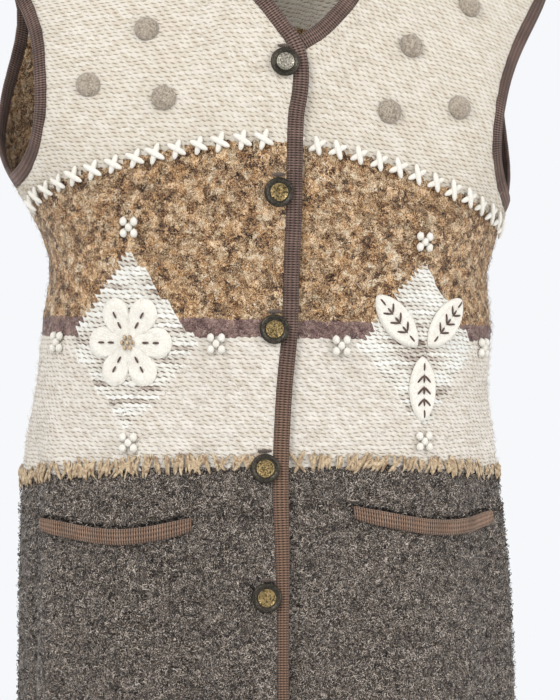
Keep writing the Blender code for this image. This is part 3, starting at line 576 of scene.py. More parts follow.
def knitted(name, zones, diamond=None):
    """Purl-faced knitting. Each of zones, from the top down, is a yarn, a line and a curve: at a distance u
    round from the centre the yarn starts below line + curve * u * u. diamond is a yarn, its middle and its
    half sizes."""
    made, tree, shader = wool_material(name)
    at = add_node(tree, "ShaderNodeUVMap", uv_map="knit").outputs[0]
    uneven = mottled(tree, at, UNEVEN_GRAIN, 2.0).outputs[1]
    pull = add_node(tree, "ShaderNodeVectorMath", {0: uneven, 1: (0.5, 0.5, 0.5)}, operation="SUBTRACT")
    moved = moved_by(tree, at, pull.outputs[0], UNEVEN_PULL)
    split = add_node(tree, "ShaderNodeSeparateXYZ", {0: moved})
    courses = calc(tree, "DIVIDE", split.outputs[1], STITCH_HEIGHT)
    round_by = calc(tree, "DIVIDE", split.outputs[0], STITCH_WIDTH)
    wales = calc(tree, "MULTIPLY_ADD", courses, STITCH_SLANT, round_by)
    wave = calc(tree, "SINE", calc(tree, "MULTIPLY", wales, 2 * math.pi))
    courses = calc(tree, "MULTIPLY_ADD", wave, COURSE_WAVE, courses)
    row = calc(tree, "FLOOR", courses)
    column = calc(tree, "FLOOR", wales)
    within_u = calc(tree, "FRACT", wales)
    within_v = calc(tree, "FRACT", courses)
    stitch = add_node(tree, "ShaderNodeCombineXYZ", {0: column, 1: row}).outputs[0]
    pick = add_node(tree, "ShaderNodeTexWhiteNoise", {"Vector": stitch}, noise_dimensions="2D").outputs[0]
    lengthwise = add_node(tree, "ShaderNodeVectorMath", {0: stitch, 1: TWIST_RUN}, operation="MULTIPLY")
    run = mottled(tree, lengthwise.outputs[0], 1.0, 1.0).outputs[0]

    # Each course is a wavy ridge, and a slanted slit shows under each purl loop
    off = calc(tree, "ABSOLUTE", calc(tree, "MULTIPLY_ADD", within_v, 2.0, -1.0))
    swell = calc(tree, "SINE", calc(tree, "MULTIPLY", within_u, math.pi))
    uneven_depth = calc(tree, "MULTIPLY", pick, SLIT_UNEVENNESS)
    depth = calc(tree, "MULTIPLY_ADD", calc(tree, "POWER", swell, SLIT_LENGTH), SLIT_DEPTH, uneven_depth)
    slit = calc(tree, "MULTIPLY", calc(tree, "POWER", off, SLIT_SHARPNESS), depth)
    loop = calc(tree, "SUBTRACT", 1.0, slit)

    # How dark each making of yarn is drawn: by the stitch, by runs of twist, or by tufts and curls of fibre
    fibres = mottled(tree, at, FIBRE_GRAIN, 4.0, 0.65, 2.4).outputs[0]
    fleck = calc(tree, "MULTIPLY_ADD", fibres, 1.5, -0.45)
    cloud = mottled(tree, at, CLOUD_GRAIN, 8.0, 0.80, 0.25).outputs[0]
    frayed = moved_by(tree, at, mottled(tree, at, FRAY_GRAIN, 3.0).outputs[1], FRAY_REACH)
    cells = {"voronoi_dimensions": "2D"}
    tufts = add_node(tree, "ShaderNodeTexVoronoi", {"Vector": frayed, "Scale": TUFT_GRAIN}, **cells)
    tuft = add_node(tree, "ShaderNodeSeparateXYZ", {0: tufts.outputs[1]})
    twist = calc(tree, "MULTIPLY_ADD", run, 2.0, calc(tree, "MULTIPLY_ADD", fleck, 0.45, -0.92))
    tufted = calc(tree, "MULTIPLY_ADD", tuft.outputs[0], 0.46, -2.15)
    tufted = calc(tree, "MULTIPLY_ADD", fibres, 2.9, tufted)
    curly = calc(tree, "MULTIPLY_ADD", fibres, 5.4, -2.70)
    drawn = {
        "spun": calc(tree, "MULTIPLY_ADD", pick, 0.40, calc(tree, "MULTIPLY", fleck, 0.7)),
        "twisted": calc(tree, "MULTIPLY_ADD", calc(tree, "SUBTRACT", 1.0, loop), 0.62, twist),
        "brushed": calc(tree, "MULTIPLY_ADD", cloud, 1.9, tufted),
        "curled": calc(tree, "MULTIPLY_ADD", cloud, 0.8, curly),
    }
    dye = blended(tree, tuft.outputs[1], *TUFT_DYES)

    # A yarn changes at whole stitches, by the place of the stitch's middle
    mid_column, mid_row = calc(tree, "ADD", column, 0.5), calc(tree, "ADD", row, 0.5)
    across = calc(tree, "MULTIPLY_ADD", mid_row, -STITCH_SLANT, mid_column)
    across = calc(tree, "MULTIPLY", across, STITCH_WIDTH)
    height = calc(tree, "MULTIPLY", mid_row, STITCH_HEIGHT)
    square = calc(tree, "MULTIPLY", across, across)
    changes = []
    for yarn, line, curve in zones[1:]:
        line_here = calc(tree, "MULTIPLY_ADD", square, curve, line)
        changes.append((yarn, calc(tree, "LESS_THAN", height, line_here)))
    if diamond:
        yarn, centre_u, centre_v, half_u, half_v = diamond
        off_u = calc(tree, "ABSOLUTE", calc(tree, "SUBTRACT", across, centre_u))
        off_v = calc(tree, "ABSOLUTE", calc(tree, "SUBTRACT", height, centre_v))
        reach = calc(tree, "ADD", calc(tree, "DIVIDE", off_u, half_u), calc(tree, "DIVIDE", off_v, half_v))
        changes.append((yarn, calc(tree, "LESS_THAN", reach, 1.0)))
    top_yarn = zones[0][0]
    colour = drawn_yarn(tree, top_yarn, drawn, dye)
    loops = YARNS[top_yarn]["looped"]
    for yarn, here in changes:
        colour = blended(tree, here, colour, drawn_yarn(tree, yarn, drawn, dye))
        loops = add_node(tree, "ShaderNodeMix", {0: here, 2: loops, 3: YARNS[yarn]["looped"]}).outputs[0]

    curls = add_node(tree, "ShaderNodeTexVoronoi", {"Vector": moved, "Scale": CURL_GRAIN}, **cells).outputs[0]
    curl = calc(tree, "MULTIPLY_ADD", cloud, 1.1, calc(tree, "SUBTRACT", 0.6, curls))
    relief = add_node(tree, "ShaderNodeMix", {0: loops, 2: loop, 3: curl}).outputs[0]
    relief = calc(tree, "MULTIPLY_ADD", fibres, 0.5, relief)
    # Painted shade: the colour is darkened where the relief is low, in the slits under the purl loops and
    # among the skirt's curls.
    hollow = add_node(tree, "ShaderNodeMapRange", {0: relief, 1: 0.25, 2: 0.95}).outputs[0]
    shade = blended(tree, hollow, SLIT_SHADE, UNSHADED)
    colour = blended(tree, 1.0, colour, shade, "MULTIPLY")
    tree.links.new(colour, shader.inputs["Base Color"])
    raised(tree, shader, relief, *KNIT_RELIEF)
    return made


def thickened(panel):
    """The panel's wall, which reaches inwards from its outer face."""
    wall = panel.modifiers.new("wall", "SOLIDIFY")
    wall.thickness = CLOTH_THICKNESS
    wall.offset = -1.0
    wall.use_even_offset = False


YOKE_LINE = (-0.243, -0.9)
WAIST_LINE = (-0.385, 0.0)
STRIPE_LINE = (-0.3985, 0.0)
JOIN_LINE = (-0.506, -0.24)
MOTIF_ROUND = 0.130
MOTIF_HEIGHT = -0.405
DIAMOND_HALF = (0.060, 0.072)


def yarn_zones(yoke_line, join_line):
    """The yarns of a panel from the top down, each with the line where it starts."""
    return (
        ("cream", 0, 0),
        ("tweed", *yoke_line),
        ("mauve", *WAIST_LINE),
        ("oatmeal", *STRIPE_LINE),
        ("charcoal", *join_line),
    )


def front_knit(side, name):
    diamond = ("marl", side * MOTIF_ROUND, MOTIF_HEIGHT, *DIAMOND_HALF)
    return knitted(name, yarn_zones(YOKE_LINE, JOIN_LINE), diamond)


EDGE_ROLL = 0.0026
EDGE_ROLL_FADE = (-0.67, -0.53)
EDGE_ROLL_COLUMNS = 8


def make_front(name, side, table):
    """A front's cloth. Returns the object, its outer face, its normals and its knit map."""
    angle, rise = front_pattern(side, table)
    low_rows = ROWS_BELOW_POCKET + 1 + ROWS_ABOVE_POCKET
    angle = finer_panel(angle, FRONT_FINENESS, low_rows)
    rise = np.clip(finer_panel(rise, FRONT_FINENESS, low_rows), None, 1)
    outer, normals = face_of(angle, rise, side)
    if side < 0:
        roll = EDGE_ROLL * (1 - ease(outer[:, :1, 2], *EDGE_ROLL_FADE))
        share = np.clip(1 - np.arange(outer.shape[1]) / EDGE_ROLL_COLUMNS, 0, 1)[None, :]
        outer[..., 0] += roll * share
    knit = knit_map(outer, side, rise, side * outer[:, :1, 0])
    knit[..., 0] *= side
    slit = np.zeros((outer.shape[0], outer.shape[1]), bool)
    down, round_by = FRONT_FINENESS
    first, last = (column * round_by for column in POCKET_COLUMNS)
    slit[ROWS_BELOW_POCKET * down : (ROWS_BELOW_POCKET + 1) * down, first:last] = True
    cloth = woven_mesh(f"{name}_cloth", lumps(outer, normals), knit, slit, flip=side < 0)
    thickened(cloth)
    return {"cloth": cloth, "outer": outer, "normals": normals, "knit": knit, "side": side}


right = make_front("right_front", -1, RIGHT_FRONT_EDGE)
right["cloth"].data.materials.append(front_knit(-1, "right_front_knit"))
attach(right["cloth"], "root")
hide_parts("right_front")

# The left front
# The same panel, mirrored, with its edge cut straighter, since it lies under the right front where the
# buttons close.
LEFT_FRONT_EDGE = (
    (-0.805, -0.0220),
    (-0.400, -0.0200),
    (-0.205, -0.0160),
    (-0.180, -0.0080),
    (-0.164, 0.0110),
    (-0.1487, 0.0335),
    (-0.127, 0.0540),
    (-0.1095, 0.0665),
    (-0.060, 0.0840),
    (-0.015, 0.0915),
)
left = make_front("left_front", 1, LEFT_FRONT_EDGE)
left["cloth"].data.materials.append(front_knit(1, "left_front_knit"))
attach(left["cloth"], "root")
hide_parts("left_front")

# The back
# One panel in the same stitch and yarns, with a cream yoke, a tweed middle, an oatmeal waist and a charcoal
# skirt. It is sewn to the fronts at the shoulders and the sides.
BACK_ARMHOLE = (1, 33.5, 0.35, 1.7, 11.0)
BACK_NECK_RISE = 0.72
BACK_NECK_ROUNDNESS = 2.6
BACK_COLUMNS = 24
BACK_NECK_COLUMNS = 8
BACK_FINENESS = (5, 6)
BACK_YOKE_LINE = (-0.130, 0.0)
BACK_JOIN_LINE = (-0.510, -0.16)


def back_pattern():
    """Angle and rise of every grid point of the back, each row from the wearer's left to the right."""
    angles, rises = [], []
    for height in np.linspace(HEM_HEIGHT, UNDERARM_HEIGHT, ROWS_BELOW_POCKET + ROWS_ABOVE_POCKET + 1):
        rise = (height - UNDERARM_HEIGHT) / BELOW_SPAN
        angle, _ = evenly(np.linspace(90, 270, 400), np.full(400, rise), BACK_COLUMNS)
        angles.append(angle)
        rises.append(np.full(BACK_COLUMNS + 1, rise))
    rises[-1] = dipped(rises[-1])
    arm = armhole_edge(BACK_ARMHOLE, ROWS_OVER_UNDERARM)
    neck_angle = 180 - pattern_of(NECK_HALF_WIDTH, RIDGE_HEIGHT - shoulder_drop(NECK_HALF_WIDTH))[0]
    shoulder_columns = (BACK_COLUMNS - BACK_NECK_COLUMNS) // 2
    shoulder, _ = evenly(np.linspace(arm[0][-1], neck_angle, 200), np.ones(200), shoulder_columns)
    neck = np.linspace(neck_angle, 360 - neck_angle, BACK_NECK_COLUMNS + 1)
    over = (neck - 180) / (neck_angle - 180)
    scoop = BACK_NECK_RISE + (1 - BACK_NECK_RISE) * np.abs(over) ** BACK_NECK_ROUNDNESS
    top_angle = np.concatenate([shoulder, neck[1:-1], 360 - shoulder[::-1]])
    top_rise = np.ones(BACK_COLUMNS + 1)
    top_rise[shoulder_columns + 1 : -shoulder_columns - 1] = scoop[1:-1]
    over_angle = patch_between(angles[-1], top_angle, arm[0], 360 - arm[0])
    over_rise = patch_between(rises[-1], top_rise, arm[1], arm[1])
    angle = np.vstack([np.array(angles), over_angle[1:]])
    rise = np.vstack([np.array(rises), over_rise[1:]])
    return angle, np.clip(rise, None, 1)


back_angle, back_rise = back_pattern()
back_low_rows = ROWS_BELOW_POCKET + ROWS_ABOVE_POCKET
back_angle = finer(finer(back_angle, BACK_FINENESS[0], 0, softly=False), BACK_FINENESS[1], 1, softly=False)
back_rise = finer(finer(back_rise, BACK_FINENESS[0], 0, softly=False), BACK_FINENESS[1], 1, softly=False)
back_outer, back_normals = face_of(back_angle, back_rise, 0)
middle_column = back_outer.shape[1] // 2
back_knit = knit_map(back_outer, 0, back_rise, 0.0)
back_knit[..., 0] -= back_knit[:, middle_column : middle_column + 1, 0].copy()
back_cloth = woven_mesh("back_cloth", lumps(back_outer, back_normals), back_knit)
thickened(back_cloth)
back_cloth.data.materials.append(knitted("back_knit", yarn_zones(BACK_YOKE_LINE, BACK_JOIN_LINE)))
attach(back_cloth, "root")
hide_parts("back")
back = {"cloth": back_cloth, "outer": back_outer, "normals": back_normals, "knit": back_knit, "side": 0}

# The front, neck and armhole bindings
# Narrow rib bands knitted in dark brown wool and sewn round every raw edge, with their ribs across the band
# and the free edge rolled.
BAND_WIDTH = 0.0137
ROLLED_WIDTH = 0.0094
BAND_WALL = 0.0038
RIB_PITCH = 0.0022
RIB_DEPTH = 0.00055
RIB_STITCH = 0.0019
RIB_TONES = ((104, 84, 77), (128, 105, 95))
ROLLED_TONE = (130, 103, 86)
BAND_AROUND = 12
BAND_GAP = 0.0002
BAND_LIFT = 0.0006


def along(points, closed=False):
    """The direction of a line of points at each of them."""
    tangent = np.roll(points, -1, 0) - np.roll(points, 1, 0) if closed else np.gradient(points, axis=0)
    return tangent / np.linalg.norm(tangent, axis=1, keepdims=True)


def off_the_edge(points, normals, toward, closed=False):
    """Directions in the cloth, square to its edge, on the side of a place."""
    inward = np.cross(normals, along(points, closed))
    inward = inward * np.sign((inward * (toward - points)).sum(1, keepdims=True))
    return inward / np.linalg.norm(inward, axis=1, keepdims=True)


def along_ridge(normal, direction):
    """The direction of the shoulder seam: 1 towards the wearer's left, -1 towards the right."""
    ridge = np.cross(normal, (0.0, 1.0, 0.0))
    ridge = ridge * np.sign(ridge[0]) * direction
    return ridge / np.linalg.norm(ridge)


def resampled(line, values, count):
    """The line and the values along it at equal steps, and the lengths where the steps come."""
    steps = np.concatenate([[0], np.cumsum(np.linalg.norm(np.diff(line, axis=0), axis=1))])
    at = np.linspace(0, steps[-1], count + 1)
    return [np.stack([np.interp(at, steps, v[:, i]) for i in range(3)], 1) for v in (line, *values)], at


def rib_band(name, points, normals, inward, width=BAND_WIDTH, wall=BAND_WALL):
    """A ribbed tube of cloth that lies flat along an edge, reaching its width along the inward directions."""
    length = np.linalg.norm(np.diff(points, axis=0), axis=1).sum()
    count = int(length / RIB_PITCH) * 3
    widths = np.repeat(np.broadcast_to(width, len(points))[:, None], 3, 1)
    (points, normals, inward, widths), at = resampled(points, (normals, inward, widths), count)
    width = widths[:, :1]
    normals = normals / np.linalg.norm(normals, axis=1, keepdims=True)
    inward = inward / np.linalg.norm(inward, axis=1, keepdims=True)
    turn = np.linspace(0, 2 * math.pi, BAND_AROUND + 1)
    across = width * (0.5 - 0.5 * signed_power(np.cos(turn), 0.55))[None, :]
    out = -wall / 2 + wall / 2 * signed_power(np.sin(turn), 0.75)
    rib = RIB_DEPTH * np.cos(at / RIB_PITCH * 2 * math.pi)
    swell = (out + wall / 2) / (wall / 2)
    raised_by = out[None, :] + rib[:, None] * swell[None, :] + BAND_LIFT
    places = points[:, None] + inward[:, None] * (BAND_GAP + across)[..., None]
    places = places + normals[:, None] * raised_by[..., None]
    knit = np.stack(np.broadcast_arrays(at[:, None], turn[None, :] * BAND_WIDTH / math.pi), -1)
    return woven_mesh(name, places, knit, tube=True)


def rib_material(name, low, high, rolled=None):
    """Rib in plied wool, with painted shade in the furrows between the ribs and between the small stitches
    along each rib. rolled is the tone near the hem.
    """
    made, tree, shader = wool_material(name)
    at = add_node(tree, "ShaderNodeUVMap", uv_map="knit").outputs[0]
    split = add_node(tree, "ShaderNodeSeparateXYZ", {0: at})
    furrow = calc(tree, "COSINE", calc(tree, "MULTIPLY", split.outputs[0], 2 * math.pi / RIB_PITCH))
    beside = calc(tree, "MULTIPLY", furrow, 0.9)
    rows = calc(tree, "MULTIPLY_ADD", split.outputs[1], 2 * math.pi / RIB_STITCH, beside)
    rows = calc(tree, "SINE", rows)
    cloud = mottled(tree, at, 55.0, 5.0).outputs[0]
    fibres = mottled(tree, at, 1000.0, 3.0).outputs[0]
    share = add_node(tree, "ShaderNodeMapRange", {0: cloud, 1: 0.35, 2: 0.65}).outputs[0]
    colour = blended(tree, share, colour_of(*low), colour_of(*high))
    if rolled:
        near_hem = add_node(tree, "ShaderNodeMapRange", {0: split.outputs[0], 1: 0.42, 2: 0.30}).outputs[0]
        colour = blended(tree, near_hem, colour, colour_of(*rolled))
    # Painted shade in the furrows and between the stitches, mixed with the fibres' own uneven tone.
    shade_and_fibre_tone = calc(tree, "MULTIPLY_ADD", furrow, 0.50, 0.74)
    shade_and_fibre_tone = calc(tree, "MULTIPLY_ADD", rows, 0.24, shade_and_fibre_tone)
    shade_and_fibre_tone = calc(tree, "MULTIPLY_ADD", fibres, 1.1, calc(tree, "SUBTRACT", shade_and_fibre_tone, 0.55))
    colour = blended(tree, 1.0, colour, shade_and_fibre_tone, "MULTIPLY")
    tree.links.new(colour, shader.inputs["Base Color"])
    relief = calc(tree, "MULTIPLY_ADD", fibres, 0.6, calc(tree, "MULTIPLY", rows, 0.35))
    raised(tree, shader, relief, 0.7, 0.0006)
    return made


binding_rib = rib_material("binding_rib", *RIB_TONES)
placket_rib = rib_material("placket_rib", *RIB_TONES, ROLLED_TONE)


def finish_band(band, node, rib=binding_rib):
    """A band's material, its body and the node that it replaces."""
    band.data.materials.append(rib)
    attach(band, "root")
    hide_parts(node)


for word, front in (("right", right), ("left", left)):
    points, normals = front["outer"][:, 0], front["normals"][:, 0]
    inward = off_the_edge(points, normals, points + points - front["outer"][:, 1])
    inward[-1] = along_ridge(normals[-1], -front["side"])
    rolled = (front["side"] < 0) * (1 - ease(points[:, 2], *EDGE_ROLL_FADE))
    widths = BAND_WIDTH + (ROLLED_WIDTH - BAND_WIDTH) * rolled
    band = rib_band(f"{word}_front_rib", points, normals, inward, widths)
    finish_band(band, f"{word}_front_band", rib=placket_rib)

first = (BACK_COLUMNS - BACK_NECK_COLUMNS) // 2 * BACK_FINENESS[1]
neck_columns = slice(first, first + BACK_NECK_COLUMNS * BACK_FINENESS[1] + 1)
points, normals = back_outer[-1, neck_columns], back_normals[-1, neck_columns]
inward = off_the_edge(points, normals, points + points - back_outer[-2, neck_columns])
inward[0], inward[-1] = along_ridge(normals[0], -1), along_ridge(normals[-1], 1)
neck_rib = rib_band("back_neck_rib", points, normals, inward)
finish_band(neck_rib, "neck_band_back")

for word, front, column in (("right", right, -1), ("left", left, 0)):
    start = (ROWS_BELOW_POCKET + 1 + ROWS_ABOVE_POCKET) * FRONT_FINENESS[0]
    back_start = back_low_rows * BACK_FINENESS[0]
    up, up_normals = front["outer"][start:, -1], front["normals"][start:, -1]
    down, down_normals = back_outer[back_start:, column][::-1], back_normals[back_start:, column][::-1]
    points = np.vstack([up, down[1:-1]])
    normals = np.vstack([up_normals, down_normals[1:-1]])
    inward = off_the_edge(points, normals, points.mean(0), closed=True)
    tip = len(up) - 1
    inward[tip] = along_ridge(normals[tip], front["side"])
    points, normals, inward = (np.vstack([a, a[:1]]) for a in (points, normals, inward))
    band = rib_band(f"{word}_armhole_rib", points, normals, inward)
    finish_band(band, f"{word}_armhole_band")

# The pockets
# Each slit has a short lighter rib band sewn to its lower lip, which gapes a little, and a flat knitted
# bag behind it.
POCKET_BAND_WIDTH = 0.0138
POCKET_BAND_WALL = 0.0034
POCKET_BAND_GAPE = 0.0028
MOTIF_GAP = 0.0006
pocket_rib = rib_material("pocket_rib", (134, 108, 91), (156, 128, 109))
for word, front in (("right", right), ("left", left)):
    down_rows, round_rows = FRONT_FINENESS
    first, last = (column * round_rows for column in POCKET_COLUMNS)
    lip_row = ROWS_BELOW_POCKET * down_rows
    lip = front["outer"][lip_row, first : last + 1]
    facing = front["normals"][lip_row, first : last + 1]
    below = front["outer"][lip_row - down_rows, first : last + 1] - lip
    downward = below / np.linalg.norm(below, axis=1, keepdims=True)
    ends = np.linspace(-1, 1, last - first + 1)[:, None]
    gape = POCKET_BAND_GAPE * (1 - ends**4)
    top = lip - downward * POCKET_MOUTH * 0.3 + facing * (MOTIF_GAP + POCKET_BAND_WALL + gape)
    lean = downward * POCKET_BAND_WIDTH - facing * gape
    widths = POCKET_BAND_WIDTH * (1 - 0.22 * ends[:, 0] ** 8)
    band = rib_band(f"{word}_pocket_rib", top, facing, lean, widths, POCKET_BAND_WALL)
    finish_band(band, f"{word}_pocket_band", pocket_rib)
    bag = bpy.data.objects[f"{word}_pocket_bag"]

pocket_knit, tree, shader = wool_material("pocket_lining")
bag_at = add_node(tree, "ShaderNodeTexCoord").outputs["Object"]
bag_yarn = mottled(tree, bag_at, 260.0, 3.0).outputs[0]
bag_colour = blended(tree, bag_yarn, colour_of(40, 34, 32), colour_of(84, 74, 70))
tree.links.new(bag_colour, shader.inputs["Base Color"])
raised(tree, shader, bag_yarn, 0.7, 0.001)
for word in ("right", "left"):
    bag = bpy.data.objects[f"{word}_pocket_bag"]
    bag.data.materials.clear()
    bag.data.materials.append(pocket_knit)

# The buttons
# Six cast metal shank buttons: a dished, blackened rim, a fine bright ring, and an antique brass middle with
# a rosette and a ring of beads in relief.
BUTTON_FROM_EDGE = 0.0065
BUTTON_HEIGHTS = (-0.1710, -0.2805, -0.3965, -0.5150, -0.6230, -0.7380)
BUTTON_SEAT = 0.0005
RIM_PROFILE = (
    (0.0000, 0.0000),
    (0.0056, 0.0000),
    (0.0102, 0.0007),
    (0.0119, 0.0016),
    (0.0124, 0.0022),
    (0.0126, 0.0029),
    (0.0124, 0.0037),
    (0.0119, 0.0043),
    (0.0111, 0.0046),
    (0.0102, 0.0045),
    (0.0091, 0.0039),
    (0.0081, 0.0034),
    (0.0076, 0.0036),
    (0.0000, 0.0038),
)
FACE_PROFILE = (
    (0.0000, 0.0034),
    (0.0075, 0.0034),
    (0.0076, 0.0044),
    (0.0074, 0.0048),
    (0.0070, 0.0048),
    (0.0067, 0.0042),
    (0.0045, 0.0043),
    (0.0020, 0.0045),
    (0.0000, 0.0046),
)
BEADS = 16
BEAD_HALF = (0.0006, 0.0006, 0.0006, 1.0)
BEAD_RING = 0.0060
PETALS_ON_BUTTON = 8
PETAL_RING = 0.0030
PETAL_HALF = (0.0017, 0.00075, 0.0008, 1.0)
BOSS_HALF = (0.0011, 0.0011, 0.0009, 1.0)


def turned(profile, steps):
    """A turned solid about Z, still as a bmesh."""
    bm = bmesh.new()
    line = [bm.verts.new((radius, 0.0, height)) for radius, height in profile]
    edges = [bm.edges.new(pair) for pair in zip(line, line[1:])]
    turn = {"cent": (0, 0, 0), "axis": (0, 0, 1), "angle": 2 * math.pi}
    bmesh.ops.spin(bm, geom=line + edges, steps=steps, use_merge=True, **turn)
    bmesh.ops.remove_doubles(bm, verts=bm.verts, dist=1e-6)
    bmesh.ops.recalc_face_normals(bm, faces=bm.faces)
    return bm


def sewn_on(name, bm, material):
    """The bmesh as a smooth piece of one material that rides on the vest."""
    mesh = mesh_of(name, bm)
    mesh.shade_smooth()
    mesh.materials.append(material)
    made = laid_out(name, mesh)
    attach(made, "root")
    return made


def placed(name, bm, point, normal, material):
    """The bmesh as a piece whose Z axis stands on the cloth at a point."""
    stand = Matrix.Translation(Vector(point)) @ Vector(normal).to_track_quat("Z", "Y").to_matrix().to_4x4()
    bmesh.ops.transform(bm, matrix=stand, verts=bm.verts)
    return sewn_on(name, bm, material)


def metal(name, bright, worn, roughness):
    """Cast metal with a darker patina in its hollows and small scratches."""
    made = bpy.data.materials.new(name)
    made.use_nodes = True
    tree = made.node_tree
    shader = tree.nodes["Principled BSDF"]
    shader.inputs["Metallic"].default_value = 1.0
    at = add_node(tree, "ShaderNodeTexCoord").outputs["Object"]
    patina = mottled(tree, at, 700.0, 4.0).outputs[0]
    share = add_node(tree, "ShaderNodeMapRange", {0: patina, 1: 0.38, 2: 0.66}).outputs[0]
    tree.links.new(blended(tree, share, bright, worn), shader.inputs["Base Color"])
    rough = calc(tree, "MULTIPLY_ADD", patina, 0.25, roughness)
    tree.links.new(rough, shader.inputs["Roughness"])
    raised(tree, shader, patina, 0.35, 0.0002)
    return made


def button_place(height):
    """Where a button sits on the right front's face, and the face's normal there."""
    edge = columns_of(RIGHT_FRONT_EDGE, FRONT_EDGE_COLUMNS)
    across = smooth_through(height, edge["height"], edge["across"]) + BUTTON_FROM_EDGE
    angle, rise = pattern_of(np.array(across), np.array(height))
    return face_of(-angle, rise, -1)


def on_face(spot):
    """A place and a size on the button's face, as a matrix, from a turn, a ring, a height and half sizes."""
    turn, ring, height, half = spot
    shape = Matrix.Translation((ring, 0.0, height)) @ Matrix.Diagonal(half)
    return Matrix.Rotation(turn, 4, "Z") @ shape


rim_metal = metal("blackened_metal", colour_of(86, 81, 72), colour_of(50, 47, 42), 0.32)
brass = metal("antique_brass", colour_of(198, 172, 120), colour_of(52, 44, 32), 0.34)
pewter = metal("pewter", colour_of(206, 200, 184), colour_of(96, 90, 78), 0.32)
for number, height in enumerate(BUTTON_HEIGHTS, 1):
    point, normal = button_place(height)
    seat = point + normal * BUTTON_SEAT
    rim = placed(f"button_{number}_rim", turned(RIM_PROFILE, 64), seat, normal, rim_metal)
    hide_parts(f"button_{number}")
    bm = turned(FACE_PROFILE, 48)
    for i in range(BEADS):
        shape = on_face((i * 2 * math.pi / BEADS, BEAD_RING, 0.0044, BEAD_HALF))
        bmesh.ops.create_uvsphere(bm, u_segments=8, v_segments=5, radius=1.0, matrix=shape)
    for i in range(PETALS_ON_BUTTON):
        shape = on_face((i * 2 * math.pi / PETALS_ON_BUTTON, PETAL_RING, 0.0043, PETAL_HALF))
        bmesh.ops.create_uvsphere(bm, u_segments=8, v_segments=6, radius=1.0, matrix=shape)
    boss = on_face((0.0, 0.0, 0.0045, BOSS_HALF))
    bmesh.ops.create_uvsphere(bm, u_segments=12, v_segments=8, radius=1.0, matrix=boss)
    face = placed(f"button_{number}_face", bm, seat, normal, pewter if number == 1 else brass)

# The bobbles
# Small felted balls of grey mohair, sewn by their backs to the yoke, four on each front.
PUFF_RADIUS = 0.0105
PUFF_HEIGHT = 0.0065
FELT_GRAIN = 380
FELT_LUMP = 0.0007
PUFFS = ((0.098, -0.205), (0.116, -0.146), (0.164, -0.196), (0.172, -0.104))


def on_front(side, away, height):
    """The point and normal of a front's outer face at a distance round from the centre and a height."""
    across = np.linspace(0, 0.2435, 300)
    angle, rise = pattern_of(across, np.full(300, height))
    points, _ = face_of(side * angle, rise, side)
    length = np.concatenate([[0], np.cumsum(np.linalg.norm(np.diff(points, axis=0), axis=1))])
    at_angle = np.array(side * np.interp(away, length, angle))
    at_rise = np.array(np.interp(away, length, rise))
    return face_of(at_angle, at_rise, side)


def yarn_material(name, pale, dark, scale):
    """Thick soft yarn: two tones of fibre, the darker one where the relief is low, which is partly the
    fibre's own tone and partly painted shade between the strands.
    """
    made, tree, shader = wool_material(name, sheen=0.2)
    at = add_node(tree, "ShaderNodeTexCoord").outputs["Object"]
    fibres = mottled(tree, at, scale, 4.0, distortion=2.0).outputs[0]
    share = add_node(tree, "ShaderNodeMapRange", {0: fibres, 1: 0.32, 2: 0.68}).outputs[0]
    # Painted shade: the same noise that lowers the relief darkens the colour between the strands.
    tree.links.new(blended(tree, share, colour_of(*dark), colour_of(*pale)), shader.inputs["Base Color"])
    raised(tree, shader, fibres, 0.7, 0.0009)
    return made


felt = yarn_material("felted_mohair", (196, 184, 166), (126, 112, 98), 300.0)
for side, word in ((-1, "right"), (1, "left")):
    for number, (away, height) in enumerate(PUFFS, 1):
        point, normal = on_front(side, away, height)
        arcs = np.linspace(0, math.pi / 2, 9)
        dome = [(PUFF_RADIUS * math.cos(a), PUFF_HEIGHT * math.sin(a) ** 0.9) for a in arcs[:-1]]
        bm = turned([(0.0, 0.0), *dome, (0.0, PUFF_HEIGHT)], 28)
        for vert in bm.verts:
            felted = noise.noise(vert.co * FELT_GRAIN + Vector((number, side, 0))) * FELT_LUMP
            vert.co *= 1 + felted / PUFF_RADIUS * (vert.co.z > 0.0005)
        bobble = placed(f"{word}_bobble_{number}", bm, point + normal * MOTIF_GAP, normal, felt)
        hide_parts(f"puff_{word}_{number}")

# The daisy and the leaves
# Appliques crocheted in thick off-white wool and sewn on: a six-petalled daisy with a knotted eye, and three
# leaves of a sprig with dark stitched veins.
MOTIF_WALL = 0.0026
DAISY_RADIUS = 0.038
DAISY_PETALS = 6
DAISY_NOTCH = 0.42
PETAL_ROUNDNESS = 0.6
LEAF_POINTEDNESS = 0.35
LEAF_LENGTH = 0.057
LEAF_WIDTH = 0.027
LEAVES = ((0.025, 0.021, 48.0), (-0.025, 0.021, 132.0), (0.0, -0.037, 270.0))


def cloth_finder(panel):
    """A search of a panel's points by their place on the knit map."""
    flat = panel["knit"].reshape(-1, 2)
    finder = kdtree.KDTree(len(flat))
    for i, (u, v) in enumerate(flat):
        finder.insert((u, v, 0.0), i)
    finder.balance()
    return finder


for panel in (right, left, back):
    panel["finder"] = cloth_finder(panel)


